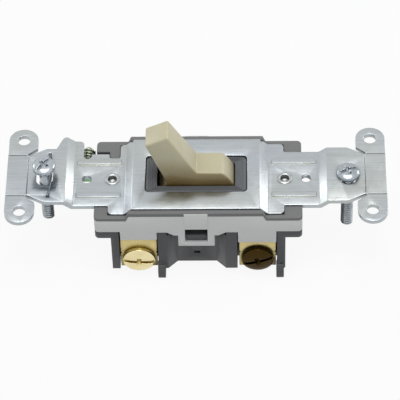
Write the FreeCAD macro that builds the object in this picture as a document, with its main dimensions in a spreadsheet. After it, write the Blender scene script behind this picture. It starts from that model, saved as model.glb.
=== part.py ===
import FreeCAD, Part
import math
import os

import Sketcher
from FreeCAD import Placement, Rotation, Vector

# A three-way toggle wall switch lying with its wall face up, in millimetres.
# X runs along the strap, Y across it, Z out of the wall; the origin is the middle of the
# plane of the back faces of the strap's ears. "Near" is -Y and "far" is +Y.

SIZES = {
    # strap
    "strap_thickness": 1.3,
    "strap_half_length": 52.1,
    "box_screw_spacing": 83.3,
    "plate_screw_spacing": 60.3,
    "plate_hole_radius": 1.4,
    "plate_collar_wall": 0.8,
    "plate_collar_depth": 0.25,
    "ear_hole_inset": 4.1,
    "ear_hole_spacing_y": 25.6,
    "ear_hole_radius": 1.75,
    "ear_width": 8.1,
    "ear_root_y": 9.8,
    "neck_inset": 5.8,
    "neck_y": 7.1,
    "neck_slit": 0.5,
    "shoulder_inset": 10.6,
    "strap_half_width": 9.6,
    "strap_blank_y": 20.0,
    "wide_inset": 1.5,
    "wide_x": 24.0,
    "mid_drop": 1.8,
    "centre_rise": 0.33,
    "outer_joggle_x": 34.8,
    "inner_joggle_x": 18.5,
    "joggle_run": 2.2,
    "opening_half_x": 14.0,
    "opening_half_y": 6.6,
    "screw_slot_radius": 2.32,
    "screw_slot_length": 7.5,
    "rib_y": 5.95,
    "rib_start_x": 20.8,
    "rib_end_x": 32.8,
    "rib_width": 1.6,
    "rib_rise": 0.35,
    "bend_radius": 0.7,
    "score_width": 0.24,
    "score_depth": 0.3,
    "ear_score_y": 7.3,
    "corner_radius": 1.2,
    "wing_y": 13.9,
    "wing_start_x": 36.9,
    "wing_slope": 1.9,
    "relief_radius": 1.15,
    "relief_x": 30.2,
    "relief_y": 8.65,
    "tab_edge_y": 9.1,
    "tab_end_x": 24.2,
    "key_notch_end_x": 21.1,
    "key_notch_y": 7.6,
    "clip_hole_radius": 0.5,
    "clip_hole_x": 40.5,
    "clip_hole_y": 7.6,
    # ground tab and screw
    "tab_thickness": 1.3,
    "tab_left_x": 34.0,
    "tab_right_x": 26.8,
    "tab_bottom": 8.9,
    "tab_step": 0.78,
    "ground_x": 30.4,
    "ground_drop": 5.2,
    "ground_shank_radius": 2.0,
    "ground_head_radius": 3.4,
    "ground_head_height": 2.4,
    "ground_length": 7.4,
    "ground_travel": 3.0,
    # cover
    "body_left_x": 27.8,
    "body_right_x": 29.0,
    "body_half_width": 14.1,
    "rim_top": 1.3,
    "rim_bottom": 0.0,
    "rim_half_x": 18.3,
    "rim_slant": 0.8,
    "block_top": 0.8,
    "block_bottom": 1.85,
    "plug_bottom": 3.2,
    "boss_top": 1.4,
    "slot_half_x": 10.7,
    "slot_half_y": 4.2,
    "slot_lip": 1.0,
    "pocket_half_x": 11.3,
    # frame band
    "frame_wall": 1.1,
    "band_bottom": 6.4,
    "mid_band_bottom": 6.75,
    "left_skirt_start": 20.9,
    "left_skirt_end": 10.85,
    "left_skirt_bottom": 9.85,
    "right_skirt_start": 11.4,
    "right_skirt_end": 21.9,
    "right_skirt_bottom": 11.05,
    "centre_skirt_half_x": 5.0,
    "centre_skirt_bottom": 12.45,
    "centre_slant_top_x": 8.1,
    "centre_slant_low_x": 6.1,
    "centre_slant_bottom": 8.0,
    "latch_half_x": 3.25,
    "latch_top": 1.2,
    "latch_bottom": 5.2,
    "latch_proud": 0.25,
    "window_half_x": 3.1,
    "window_bottom": 10.8,
    # base
    "flange_bottom": 9.0,
    "base_bottom": 22.2,
    "base_left_x": 23.5,
    "base_right_x": 24.4,
    "pocket_left_start": 21.3,
    "pocket_left_end": 10.7,
    "pocket_right_start": 11.2,
    "pocket_right_end": 22.1,
    "pocket_depth": 4.4,
    "recess_inset": 2.6,
    "recess_flat_x": 5.4,
    "catch_half_x": 2.8,
    "catch_height": 2.3,
    "catch_inset": 0.6,
    "catch_root": 1.0,
    "vent_half_x": 0.85,
    "vent_half_height": 0.5,
    "vent_drop": 18.3,
    "vent_depth": 1.0,
    "cavity_half_x": 14.2,
    "cavity_half_y": 7.0,
    "floor_thickness": 1.5,
    "fin_width": 2.1,
    "fin_left_x": 10.85,
    "fin_right_x": 21.9,
    "fin_reach": 2.0,
    "fin_foot": 0.8,
    "fin_shoulder": 1.2,
    "fin_lip": 0.6,
    "fin_top": 20.0,
    "fin_bottom": 24.9,
    # toggle
    "toggle_pivot_drop": 2.0,
    "toggle_lean": 27.0,
    "skirt_radius": 10.8,
    "skirt_low_angle": 20.0,
    "shoulder_high_angle": 21.8,
    "toggle_half_width": 3.85,
    "toggle_tip_half_width": 3.35,
    "lever_root_height": 7.2,
    "lever_root_half": 3.9,
    "lever_root_back": 5.3,
    "lever_sunk": 2.0,
    "lever_tip_height": 22.9,
    "lever_tip_half": 3.45,
    "lever_edge_round": 0.5,
    "trunnion_radius": 1.4,
    "trunnion_reach": 5.7,
    "post_half": 2.3,
    "post_bottom": 8.5,
    "plunger_radius": 1.4,
    "plunger_tip_radius": 1.2,
    "plunger_reach": 11.3,
    "plunger_head": 6.5,
    "spring_wire": 0.25,
    "spring_turns": 6.0,
    "bore_top": 1.0,
    # contacts
    "rocker_tilt": 6.0,
    "rocker_thickness": 0.8,
    "rocker_half_width": 2.5,
    "trough_radius": 8.6,
    "rocker_half_length": 12.4,
    "rocker_arm_drop": 10.0,
    "contact_x": 11.0,
    "contact_radius": 1.5,
    "contact_height": 0.9,
    "contact_gap": 0.12,
    # terminals
    "terminal_left_x": 16.0,
    "terminal_right_x": 16.75,
    "terminal_drop": 17.8,
    "clamp_notch_drop": 15.9,
    "terminal_sheet": 1.0,
    "clamp_half_width": 5.05,
    "clamp_thickness": 1.2,
    "clamp_inset": 0.5,
    "clamp_bottom": 21.5,
    "plate_low_inset": 0.5,
    "plate_top_inset": 1.0,
    "clamp_groove": 0.35,
    "arm_half_width": 2.4,
    "screw_radius": 2.08,
    "screw_length": 7.2,
    "screw_head_radius": 4.45,
    "screw_head_height": 1.9,
    "recess_depth": 0.9,
    "recess_width": 1.1,
    "recess_arm": 0.62,
    # mounting screws
    "mount_screw_radius": 1.7,
    "mount_neck_radius": 1.5,
    "mount_neck_end": 0.6,
    "mount_head_radius": 3.2,
    "mount_head_height": 1.7,
    "mount_length": 20.6,
    "mount_lift": 3.2,
    "clip_wire_radius": 0.3,
    # rivets
    "rivet_left_x": 23.1,
    "rivet_right_x": 24.3,
    "rivet_radius": 1.6,
    "rivet_bore": 1.2,
    "rivet_flare": 2.1,
    "rivet_flare_height": 0.25,
    "rivet_foot_radius": 2.3,
    "rivet_foot_height": 0.8,
    # fits
    "fit": 0.1,
    "pocket_clearance": 1.2,
    "running_gap": 0.08,
}

doc = FreeCAD.newDocument("toggle_switch")
sheet = doc.addObject("Spreadsheet::Sheet", "sizes")


class Size:
    """A length that carries both its value and the sheet expression it comes from."""

    def __init__(self, value, text):
        self.value = float(value)
        self.text = text

    def __float__(self):
        return self.value

    def __neg__(self):
        return Size(-self.value, f"(-{self.text})")

    def __add__(self, other):
        return joined(self, other, "+", self.value + float(other))

    def __radd__(self, other):
        return joined(other, self, "+", float(other) + self.value)

    def __sub__(self, other):
        return joined(self, other, "-", self.value - float(other))

    def __rsub__(self, other):
        return joined(other, self, "-", float(other) - self.value)

    def __mul__(self, other):
        return joined(self, other, "*", self.value * float(other))

    def __rmul__(self, other):
        return joined(other, self, "*", float(other) * self.value)

    def __truediv__(self, other):
        return joined(self, other, "/", self.value / float(other))

    def cos(self):
        return Size(math.cos(math.radians(self.value)), f"cos({self.text} * 1 deg)")

    def sin(self):
        return Size(math.sin(math.radians(self.value)), f"sin({self.text} * 1 deg)")


def expression(number):
    return number.text if isinstance(number, Size) else f"({float(number):g})"


def joined(left, right, sign, value):
    return Size(value, f"({expression(left)} {sign} {expression(right)})")


class Sizes:
    """The spreadsheet's cells by name."""

    def __getattr__(self, name):
        return Size(SIZES[name], f"sizes.{name}")


S = Sizes()


def fill_sheet():
    for row, (alias, value) in enumerate(SIZES.items(), start=1):
        sheet.set(f"A{row}", alias)
        sheet.set(f"B{row}", str(value))
        sheet.setAlias(f"B{row}", alias)
    doc.recompute()


def root(size):
    return Size(math.sqrt(size.value), f"sqrt({size.text})")


# ---------------------------------------------------------------- outlines for sketches


def polygon(points):
    """A closed outline whose corners are each held at bound distances from the sketch's origin."""

    def draw(sketch):
        first = sketch.GeometryCount
        corners = [Vector(float(x), float(y), 0) for x, y in points]
        following = corners[1:] + corners[:1]
        sketch.addGeometry([Part.LineSegment(a, b) for a, b in zip(corners, following)])
        for index in range(len(points)):
            joint = (first + index, 2, first + (index + 1) % len(points), 1)
            sketch.addConstraint(Sketcher.Constraint("Coincident", *joint))
        for index, (x, y) in enumerate(points):
            hold(sketch, "DistanceX", first + index, 1, x)
            hold(sketch, "DistanceY", first + index, 1, y)

    return draw


def rectangle(x0, x1, y0, y1):
    return polygon([(x0, y0), (x1, y0), (x1, y1), (x0, y1)])


def circle(x, y, radius):
    def draw(sketch):
        centre = Vector(float(x), float(y), 0)
        index = sketch.addGeometry(Part.Circle(centre, Vector(0, 0, 1), float(radius)))
        hold(sketch, "DistanceX", index, 3, x)
        hold(sketch, "DistanceY", index, 3, y)
        constraint = sketch.addConstraint(Sketcher.Constraint("Radius", index, float(radius)))
        sketch.setExpression(f"Constraints[{constraint}]", expression(radius))

    return draw


def hexagon(x, y, radius):
    half = radius * 0.5
    rise = radius * math.sqrt(0.75)
    return polygon([(x + radius, y), (x + half, y + rise), (x - half, y + rise),
                    (x - radius, y), (x - half, y - rise), (x + half, y - rise)])


def hold(sketch, kind, geometry, point, distance):
    index = sketch.addConstraint(Sketcher.Constraint(kind, geometry, point, float(distance)))
    sketch.setExpression(f"Constraints[{index}]", expression(distance))


# ---------------------------------------------------------------- bodies


class Leaning:
    """A frame about a pivot line along Y, whose own up axis leans towards -X by an angle."""

    def __init__(self, height, angle):
        self.height = height
        self.angle = angle

    def point(self, across, up):
        x = across * self.angle.cos() - up * self.angle.sin()
        return x, self.height + across * self.angle.sin() + up * self.angle.cos()

    def outline(self, points):
        return polygon([self.point(across, up) for across, up in points])


class Piece:
    """One body made of pads and pockets, each between two levels along x, y, z or a leaning axis."""

    planes = {"x": "YZ_Plane", "y": "XZ_Plane", "z": "XY_Plane"}

    def __init__(self, node):
        self.body = doc.addObject("PartDesign::Body", node)
        self.body.Label = node

    @property
    def shape(self):
        return self.body.Shape

    def new(self, kind):
        return self.body.newObject(kind, f"{self.body.Name}_{kind.split('::')[1]}")

    def sketch(self, outlines, axis, level):
        role = self.planes.get(axis, "XY_Plane")
        sketch = self.new("Sketcher::SketchObject")
        plane = next(item for item in self.body.Origin.OriginFeatures if item.Role == role)
        sketch.AttachmentSupport = [(plane, "")]
        sketch.MapMode = "FlatFace"
        if isinstance(axis, Leaning):
            x, z = axis.point(0.0, level)
            sketch.AttachmentOffset = Placement(Vector(), Rotation(Vector(0, 1, 0), -float(axis.angle)))
            sketch.setExpression("AttachmentOffset.Base.x", expression(x))
            sketch.setExpression("AttachmentOffset.Base.z", expression(z))
            sketch.setExpression("AttachmentOffset.Rotation.Angle", expression(-axis.angle))
        else:
            level = -level if axis == "y" else level
            sketch.setExpression("AttachmentOffset.Base.z", expression(level))
        for draw in outlines:
            draw(sketch)
        return sketch

    def pad(self, outlines, low, high, axis="z"):
        pad = self.new("PartDesign::Pad")
        pad.Profile = self.sketch(outlines, axis, high if axis == "y" else low)
        pad.setExpression("Length", expression(high - low))
        doc.recompute()
        return self

    def pocket(self, outlines, low, high, axis="z"):
        before = self.shape.Volume
        pocket = self.new("PartDesign::Pocket")
        pocket.Profile = self.sketch(outlines, axis, low if axis == "y" else high)
        pocket.setExpression("Length", expression(high - low))
        doc.recompute()
        if self.shape.Volume > before - 1e-4:
            raise ValueError(f"a pocket of {self.body.Label} removed nothing")
        return self

    def loft(self, axis, sections):
        sketches = [self.sketch([outline], axis, level) for outline, level in sections]
        loft = self.new("PartDesign::AdditiveLoft")
        loft.Profile = sketches[0]
        loft.Sections = sketches[1:]
        doc.recompute()
        return self

    def dress(self, kind, radius, picked):
        edges = [f"Edge{i}" for i, edge in enumerate(self.shape.Edges, start=1) if picked(edge)]
        if not edges:
            raise ValueError(f"no edge of {self.body.Label} to dress")
        base = self.body.Tip
        feature = self.new(kind)
        feature.Base = (base, edges)
        feature.setExpression("Size" if "Chamfer" in kind else "Radius", expression(radius))
        doc.recompute()
        return self

    def fillet(self, radius, picked):
        return self.dress("PartDesign::Fillet", radius, picked)

    def chamfer(self, size, picked):
        return self.dress("PartDesign::Chamfer", size, picked)


def line_through(direction, points):
    """Picks straight edges along a direction that pass through one of the points."""
    places = [Vector(*[float(number) for number in point]) for point in points]

    def picked(edge):
        if not isinstance(edge.Curve, Part.Line):
            return False
        if edge.tangentAt(edge.FirstParameter).cross(direction).Length > 1e-4:
            return False
        start = edge.Vertexes[0].Point
        return any((start - place).cross(direction).Length < 1e-3 for place in places)

    return picked


def upright(points):
    return line_through(Vector(0, 0, 1), [(x, y, 0) for x, y in points])


def crosswise(points):
    return line_through(Vector(0, 1, 0), [(x, 0, z) for x, z in points])


def ring(radius, axis, level):
    """Picks circular edges of a radius whose centre lies at a level along an axis (0, 1 or 2)."""

    def picked(edge):
        if not isinstance(edge.Curve, Part.Circle) or abs(edge.Curve.Radius - float(radius)) > 1e-3:
            return False
        return abs(edge.Curve.Center[axis] - float(level)) < 1e-3

    return picked


def group(node, pieces):
    compound = doc.addObject("Part::Compound", node)
    compound.Label = node
    compound.Links = [piece.body for piece in pieces]
    doc.recompute()
    return compound


# ---------------------------------------------------------------- shared places

REACH = 60.0
ear_top = S.strap_thickness
mid_back = -S.mid_drop
mid_top = mid_back + S.strap_thickness
centre_top = S.centre_rise + S.strap_thickness
ear_inner_x = S.strap_half_length - S.ear_width
ear_hole_x = S.strap_half_length - S.ear_hole_inset
neck_x = S.strap_half_length - S.neck_inset
shoulder_x = S.strap_half_length - S.shoulder_inset
wide_half_width = S.body_half_width - S.wide_inset
pocket_back_y = S.body_half_width - S.pocket_depth
recess_y = S.body_half_width - S.recess_inset
catch_y = S.body_half_width - S.catch_inset
fin_out_y = S.body_half_width + S.fin_reach
clamp_front_y = S.body_half_width - S.clamp_inset
ear_tip_y = S.ear_hole_spacing_y / 2 + S.ear_width / 2
relief_low_x = S.relief_x - S.relief_radius
relief_high_x = S.relief_x + S.relief_radius
tab_inner_y = S.tab_edge_y - S.tab_thickness
box_screw_x = S.box_screw_spacing / 2
plate_screw_x = S.plate_screw_spacing / 2
inner_half_width = S.body_half_width - S.frame_wall
plug_half_width = inner_half_width - S.fit
plug_left = S.body_left_x - S.frame_wall - S.fit
plug_right = S.body_right_x - S.frame_wall - S.fit
floor_top = S.floor_thickness - S.base_bottom
toggle_pivot = -S.toggle_pivot_drop
toggle_frame = Leaning(toggle_pivot, S.toggle_lean)
trough_low = toggle_pivot - S.plunger_reach - S.running_gap
rocker_pivot = trough_low - S.rocker_thickness
rocker_frame = Leaning(rocker_pivot, -S.rocker_tilt)
arm_top = toggle_pivot - S.rocker_arm_drop - rocker_pivot
arm_low = arm_top - S.rocker_thickness
closed_corner = rocker_frame.point(S.contact_x + S.contact_radius, arm_low - S.contact_height)
fixed_contact_top = closed_corner[1] - S.contact_gap
arm_level = fixed_contact_top - S.contact_height


def joggle_shift(drop):
    """How far a joggle's underside lies beyond its top for an even sheet thickness."""
    slope = root(S.joggle_run * S.joggle_run + drop * drop)
    return S.strap_thickness * (slope - S.joggle_run) / drop


# ---------------------------------------------------------------- strap


def strap_profile():
    """The bent sheet's corners in X and Z for its right half: top line, then underside."""
    half_run = S.joggle_run / 2
    outer_shift = joggle_shift(S.mid_drop)
    inner_shift = joggle_shift(S.mid_drop + S.centre_rise)
    outer = [S.outer_joggle_x + half_run, S.outer_joggle_x - half_run]
    inner = [S.inner_joggle_x + half_run, S.inner_joggle_x - half_run]
    top = [(outer[0], ear_top), (outer[1], mid_top), (inner[0], mid_top), (inner[1], centre_top)]
    under = [(outer[0] + outer_shift, 0.0), (outer[1] + outer_shift, mid_back),
             (inner[0] - inner_shift, mid_back), (inner[1] - inner_shift, S.centre_rise)]
    return top, under


def mirrored(points):
    return [(-x, y) for x, y in reversed(points)]


def ear_corners():
    """The outline of the right far ear and shoulder, from the strap's body out to the end."""
    slit_x = neck_x + S.neck_slit
    slit_y = S.neck_y + S.neck_slit
    return [(shoulder_x, S.strap_half_width), (neck_x, S.neck_y), (slit_x, slit_y),
            (ear_inner_x, S.ear_root_y), (ear_inner_x, ear_tip_y), (S.strap_half_length, ear_tip_y)]


def strap_outline():
    waist = [(S.wide_x, wide_half_width), (S.wide_x, S.strap_half_width)]
    right_far = waist + ear_corners()
    right_near = [(x, -y) for x, y in reversed(right_far)]
    left_near = [(-x, -y) for x, y in right_far]
    wing_foot = S.wing_start_x + S.wing_slope
    tab_side = [(S.key_notch_end_x, wide_half_width), (S.key_notch_end_x, S.key_notch_y),
                (S.tab_end_x, S.key_notch_y), (S.tab_end_x, S.tab_edge_y), (relief_low_x, S.tab_edge_y),
                (relief_low_x, S.relief_y), (relief_high_x, S.relief_y), (relief_high_x, S.wing_y),
                (S.wing_start_x, S.wing_y), (wing_foot, S.strap_half_width)]
    left_far = mirrored(tab_side + ear_corners())
    return right_far + right_near + left_near + left_far


def make_strap():
    top, under = strap_profile()
    end = S.strap_half_length
    strap = Piece("strap")
    top_line = [(-end, ear_top)] + [(-x, z) for x, z in top] + [(x, z) for x, z in reversed(top)]
    under_line = [(end, 0.0)] + under + [(-x, z) for x, z in reversed(under)]
    section = polygon(top_line + [(end, ear_top)] + under_line + [(-end, 0.0)])
    strap.pad([section], -S.strap_blank_y, S.strap_blank_y, "y")
    bends = top + under
    strap.fillet(S.bend_radius, crosswise(bends + [(-x, z) for x, z in bends]))
    strap.pocket([rectangle(-REACH, REACH, -REACH, REACH), polygon(strap_outline())], -REACH, REACH)
    round_strap_corners(strap)
    pierce_strap(strap)
    ribs = [rectangle(sx * S.rib_start_x, sx * S.rib_end_x, sy * S.rib_y - S.rib_width / 2,
                      sy * S.rib_y + S.rib_width / 2) for sx in (-1, 1) for sy in (-1, 1)]
    strap.pad(ribs, mid_top, mid_top + S.rib_rise)
    add_ground_tab(strap)
    return strap


def round_strap_corners(strap):
    tips = [(x, ear_tip_y) for x in (ear_inner_x, S.strap_half_length)]
    strap.fillet(S.ear_width / 2 - 0.02, upright(four_ways(tips)))
    strap.fillet(S.corner_radius, upright(
        [(S.wide_x, wide_half_width), (S.wide_x, -wide_half_width), (-S.wide_x, -wide_half_width),
         (-S.key_notch_end_x, wide_half_width), (-relief_high_x, S.wing_y), (-S.wing_start_x, S.wing_y)]))
    roots = [(S.wide_x, S.strap_half_width), (S.wide_x, -S.strap_half_width),
             (-S.wide_x, -S.strap_half_width), (-S.tab_end_x, S.key_notch_y),
             (-S.key_notch_end_x, S.key_notch_y), (-S.tab_end_x, S.tab_edge_y)]
    strap.fillet(S.corner_radius / 2, upright(roots + four_ways([(ear_inner_x, S.ear_root_y)])))


def four_ways(points):
    return [(sx * x, sy * y) for x, y in points for sx in (-1, 1) for sy in (-1, 1)]


def pierce_strap(strap):
    strap.pocket([rectangle(-S.opening_half_x, S.opening_half_x, -S.opening_half_y, S.opening_half_y)],
                 -REACH, REACH)
    strap.fillet(S.corner_radius, upright(four_ways([(S.opening_half_x, S.opening_half_y)])))
    ears = [circle(x, y, S.ear_hole_radius)
            for x, y in four_ways([(ear_hole_x, S.ear_hole_spacing_y / 2)])]
    strap.pocket(ears, -REACH, REACH)
    rivet_hole = S.rivet_radius + S.fit / 2
    strap.pocket([circle(-S.rivet_left_x, 0.0, rivet_hole), circle(S.rivet_right_x, 0.0, rivet_hole)],
                 -REACH, REACH)
    straight = S.screw_slot_length / 2 - S.screw_slot_radius
    slots = [rectangle(sx * box_screw_x - S.screw_slot_radius, sx * box_screw_x + S.screw_slot_radius,
                       -straight, straight) for sx in (-1, 1)]
    strap.pocket(slots, -REACH, REACH)
    for sy in (-1, 1):
        ends = [circle(sx * box_screw_x, sy * straight, S.screw_slot_radius) for sx in (-1, 1)]
        strap.pocket(ends, -REACH, REACH)
    strap.pocket([circle(-S.clip_hole_x, sy * S.clip_hole_y, S.clip_hole_radius) for sy in (-1, 1)],
                 -REACH, REACH)
    strap.pocket([circle(-S.relief_x, S.relief_y, S.relief_radius)], -REACH, REACH)
    collars = [circle(sx * plate_screw_x, 0.0, S.plate_hole_radius + S.plate_collar_wall) for sx in (-1, 1)]
    strap.pad(collars, mid_back - S.plate_collar_depth, mid_top)
    strap.pocket([circle(sx * plate_screw_x, 0.0, S.plate_hole_radius) for sx in (-1, 1)], -REACH, REACH)
    score_strap(strap)


def score_strap(strap):
    """Shallow grooves where the plaster ears snap off."""
    half = S.score_width / 2
    start = neck_x + S.neck_slit
    neck_reach = S.neck_y - S.neck_slit
    ears = [rectangle(sx * start, sx * REACH, sy * S.ear_score_y - half, sy * S.ear_score_y + half)
            for sx in (-1, 1) for sy in (-1, 1)]
    strap.pocket(ears, ear_top - S.score_depth, ear_top)
    necks = [rectangle(sx * neck_x - half, sx * neck_x + half, -neck_reach, neck_reach) for sx in (-1, 1)]
    strap.pocket(necks, ear_top - S.score_depth, ear_top)


def add_ground_tab(strap):
    shelf = mid_back - S.tab_step
    step = shelf - S.tab_step
    tab = polygon([(-S.tab_end_x, mid_top), (-relief_low_x, mid_top), (-relief_low_x, shelf),
                   (-S.tab_left_x, shelf), (-S.tab_left_x, -S.tab_bottom), (-S.tab_right_x, -S.tab_bottom),
                   (-S.tab_right_x, step), (-S.tab_end_x, step)])
    strap.pad([tab], tab_inner_y, S.tab_edge_y, "y")
    hole = circle(-S.ground_x, -S.ground_drop, S.ground_shank_radius + S.running_gap)
    strap.pocket([hole], tab_inner_y, S.tab_edge_y, "y")


# ---------------------------------------------------------------- body mouldings


def cut_ground_pocket(piece, *levels):
    """The corner left open for the strap's bent tab and its screw."""
    shelf_end = -S.tab_end_x + S.fit
    low_end = -S.tab_right_x + 2 * S.fit
    back = S.tab_edge_y + S.pocket_clearance
    upper = rectangle(-REACH, shelf_end, tab_inner_y - 2 * S.fit, back)
    lower = rectangle(-REACH, low_end, tab_inner_y - S.ground_head_height - S.ground_travel - S.fit, back)
    shelf_low = mid_back - 2 * S.tab_step - S.fit
    low, high = levels
    if float(high) > float(shelf_low):
        piece.pocket([upper], shelf_low, high)
    piece.pocket([lower], low, high)


def cut_plate_screw_notch(piece):
    """A scallop in the longer right end that leaves room for the cover plate's screw and its collar."""
    radius = S.plate_hole_radius + S.plate_collar_wall + S.fit
    piece.pocket([circle(plate_screw_x, 0.0, radius)], -REACH, REACH)


def rivet_circles(radius):
    return [circle(-S.rivet_left_x, 0.0, radius), circle(S.rivet_right_x, 0.0, radius)]


def seam_line(left, right):
    """The stepped seam between cover and frame band, from left to right, in X and Z."""
    slant_x = S.rim_half_x + S.rim_slant
    return [(left, -S.block_bottom), (-slant_x, -S.block_bottom), (-S.rim_half_x, -S.rim_bottom),
            (S.rim_half_x, -S.rim_bottom), (slant_x, -S.block_bottom), (right, -S.block_bottom)]


def make_cover():
    cover = Piece("cover")
    left, right = -S.body_left_x, S.body_right_x
    slant_x = S.rim_half_x + S.rim_slant
    crown = [(right, -S.block_top), (slant_x, -S.block_top), (S.rim_half_x, S.rim_top),
             (-S.rim_half_x, S.rim_top), (-slant_x, -S.block_top), (left, -S.block_top)]
    flange = polygon(seam_line(left, right) + crown)
    cover.pad([flange], -S.body_half_width, S.body_half_width, "y")
    cover.fillet(S.corner_radius, upright(
        [(x, sy * S.body_half_width) for x in (left, right) for sy in (-1, 1)]))
    plug_low = [(plug_right, -S.plug_bottom), (-plug_left, -S.plug_bottom)]
    plug = polygon(seam_line(-plug_left, plug_right) + plug_low)
    cover.pad([plug], -plug_half_width, plug_half_width, "y")
    cut_strap_channel(cover)
    boss_x = S.opening_half_x - 3 * S.fit
    boss_y = S.opening_half_y - 3 * S.fit
    cover.pad([rectangle(-boss_x, boss_x, -boss_y, boss_y)], 0.0, S.boss_top)
    cover.fillet(S.corner_radius, upright(four_ways([(boss_x, boss_y)])))
    key_left, key_right = -S.tab_end_x + S.fit, -S.key_notch_end_x - S.fit
    key_y = S.key_notch_y + S.fit
    key = rectangle(key_left, key_right, key_y, wide_half_width + S.fit)
    cover.pad([key], mid_back - 3 * S.fit, -S.block_top)
    cover.fillet(S.corner_radius / 2 - S.fit, upright([(key_left, key_y), (key_right, key_y)]))
    cut_toggle_seat(cover)
    cut_ground_pocket(cover, -S.plug_bottom, S.rim_top)
    cut_plate_screw_notch(cover)
    cover.pocket(rivet_circles(S.rivet_radius + S.fit / 2), -REACH, REACH)
    return cover


def cut_strap_channel(cover):
    inner_shift = joggle_shift(S.mid_drop + S.centre_rise) + 4 * S.fit
    low_x = S.inner_joggle_x + S.joggle_run / 2 - inner_shift
    high_x = S.inner_joggle_x - S.joggle_run / 2 - inner_shift
    steps = ((REACH, S.strap_half_width + S.fit), (S.wide_x + S.fit, wide_half_width + S.fit))
    for reach, half_width in steps:
        floor = [(-reach, mid_back), (-low_x, mid_back), (-high_x, S.centre_rise),
                 (high_x, S.centre_rise), (low_x, mid_back), (reach, mid_back)]
        channel = polygon(floor + [(reach, REACH), (-reach, REACH)])
        cover.pocket([channel], -half_width, half_width, "y")
    corner = (S.wide_x + S.fit, S.strap_half_width + S.fit)
    cover.fillet(S.corner_radius / 2 - S.fit, upright(four_ways([corner])))


def cut_toggle_seat(cover):
    cover.pocket([rectangle(-S.slot_half_x, S.slot_half_x, -S.slot_half_y, S.slot_half_y)], -REACH, REACH)
    cover.pocket([rectangle(-S.pocket_half_x, S.pocket_half_x, -S.slot_half_y, S.slot_half_y)],
                 -REACH, S.boss_top - S.slot_lip)
    seat = S.trunnion_radius + S.running_gap
    reach = S.trunnion_reach + S.fit
    cover.pocket([circle(0.0, toggle_pivot, seat)], -reach, reach, "y")
    cover.pocket([rectangle(-seat, seat, -reach, reach)], -REACH, toggle_pivot)


def make_frame_band():
    frame = Piece("frame_band")
    left, right = -S.body_left_x, S.body_right_x
    centre = [(S.centre_slant_top_x, -S.mid_band_bottom), (S.centre_slant_low_x, -S.centre_slant_bottom),
              (S.centre_skirt_half_x, -S.centre_slant_bottom),
              (S.centre_skirt_half_x, -S.centre_skirt_bottom)]
    right_edge = [(right, -S.band_bottom), (S.right_skirt_end, -S.band_bottom),
                  (S.right_skirt_end, -S.right_skirt_bottom), (S.right_skirt_start, -S.right_skirt_bottom),
                  (S.right_skirt_start, -S.mid_band_bottom)]
    left_edge = [(-S.left_skirt_end, -S.mid_band_bottom), (-S.left_skirt_end, -S.left_skirt_bottom),
                 (-S.left_skirt_start, -S.left_skirt_bottom), (-S.left_skirt_start, -S.band_bottom),
                 (left, -S.band_bottom)]
    panel = polygon(seam_line(left, right) + right_edge + centre + mirrored(centre) + left_edge)
    frame.pad([panel], -S.body_half_width, -inner_half_width, "y")
    for wall_left, wall_right in ((left, left + S.frame_wall), (right - S.frame_wall, right)):
        wall = rectangle(wall_left, wall_right, -S.body_half_width, S.body_half_width)
        frame.pad([wall], -S.band_bottom, -S.block_bottom)
    frame.pad([panel], inner_half_width, S.body_half_width, "y")
    frame.fillet(S.corner_radius, upright(
        [(x, sy * S.body_half_width) for x in (left, right) for sy in (-1, 1)]))
    latch = rectangle(-S.latch_half_x, S.latch_half_x, -S.latch_bottom, S.latch_top)
    proud = S.body_half_width + S.latch_proud
    frame.pad([latch], -proud, -S.body_half_width, "y")
    frame.pad([latch], S.body_half_width, proud, "y")
    window = rectangle(-S.window_half_x, S.window_half_x, -S.window_bottom, -S.latch_bottom)
    frame.pocket([window], -REACH, REACH, "y")
    cut_ground_pocket(frame, -S.flange_bottom, -S.rim_bottom)
    cut_plate_screw_notch(frame)
    return frame


def make_base():
    base = Piece("base")
    left, right = -S.body_left_x, S.body_right_x
    flange = rectangle(left, right, -S.body_half_width, S.body_half_width)
    base.pad([flange], -S.flange_bottom, -S.band_bottom)
    main = rectangle(-S.base_left_x, S.base_right_x, -S.body_half_width, S.body_half_width)
    base.pad([main], -S.base_bottom, -S.flange_bottom)
    base.fillet(S.corner_radius, upright(
        [(x, sy * S.body_half_width) for x in (left, right) for sy in (-1, 1)]))
    base.pad([rectangle(-plug_left, plug_right, -plug_half_width, plug_half_width)],
             -S.band_bottom, -S.plug_bottom - S.fit)
    for side in (-1, 1):
        cut_base_side(base, side)
    base.pocket([rectangle(-S.cavity_half_x, S.cavity_half_x, -S.cavity_half_y, S.cavity_half_y)],
                floor_top, REACH)
    base.pocket(rivet_circles(S.rivet_radius + S.fit / 2), -REACH, REACH)
    base.pocket(rivet_circles(S.rivet_foot_radius + 3 * S.fit), -REACH, -S.flange_bottom)
    cut_ground_pocket(base, -S.flange_bottom, -S.plug_bottom)
    cut_plate_screw_notch(base)
    cut_terminal_passages(base)
    add_fins(base)
    return base


def side_box(side, near, far):
    """Two levels along Y on one side of the body, given as distances from its middle."""
    return (near, far) if side > 0 else (-far, -near)


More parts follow.
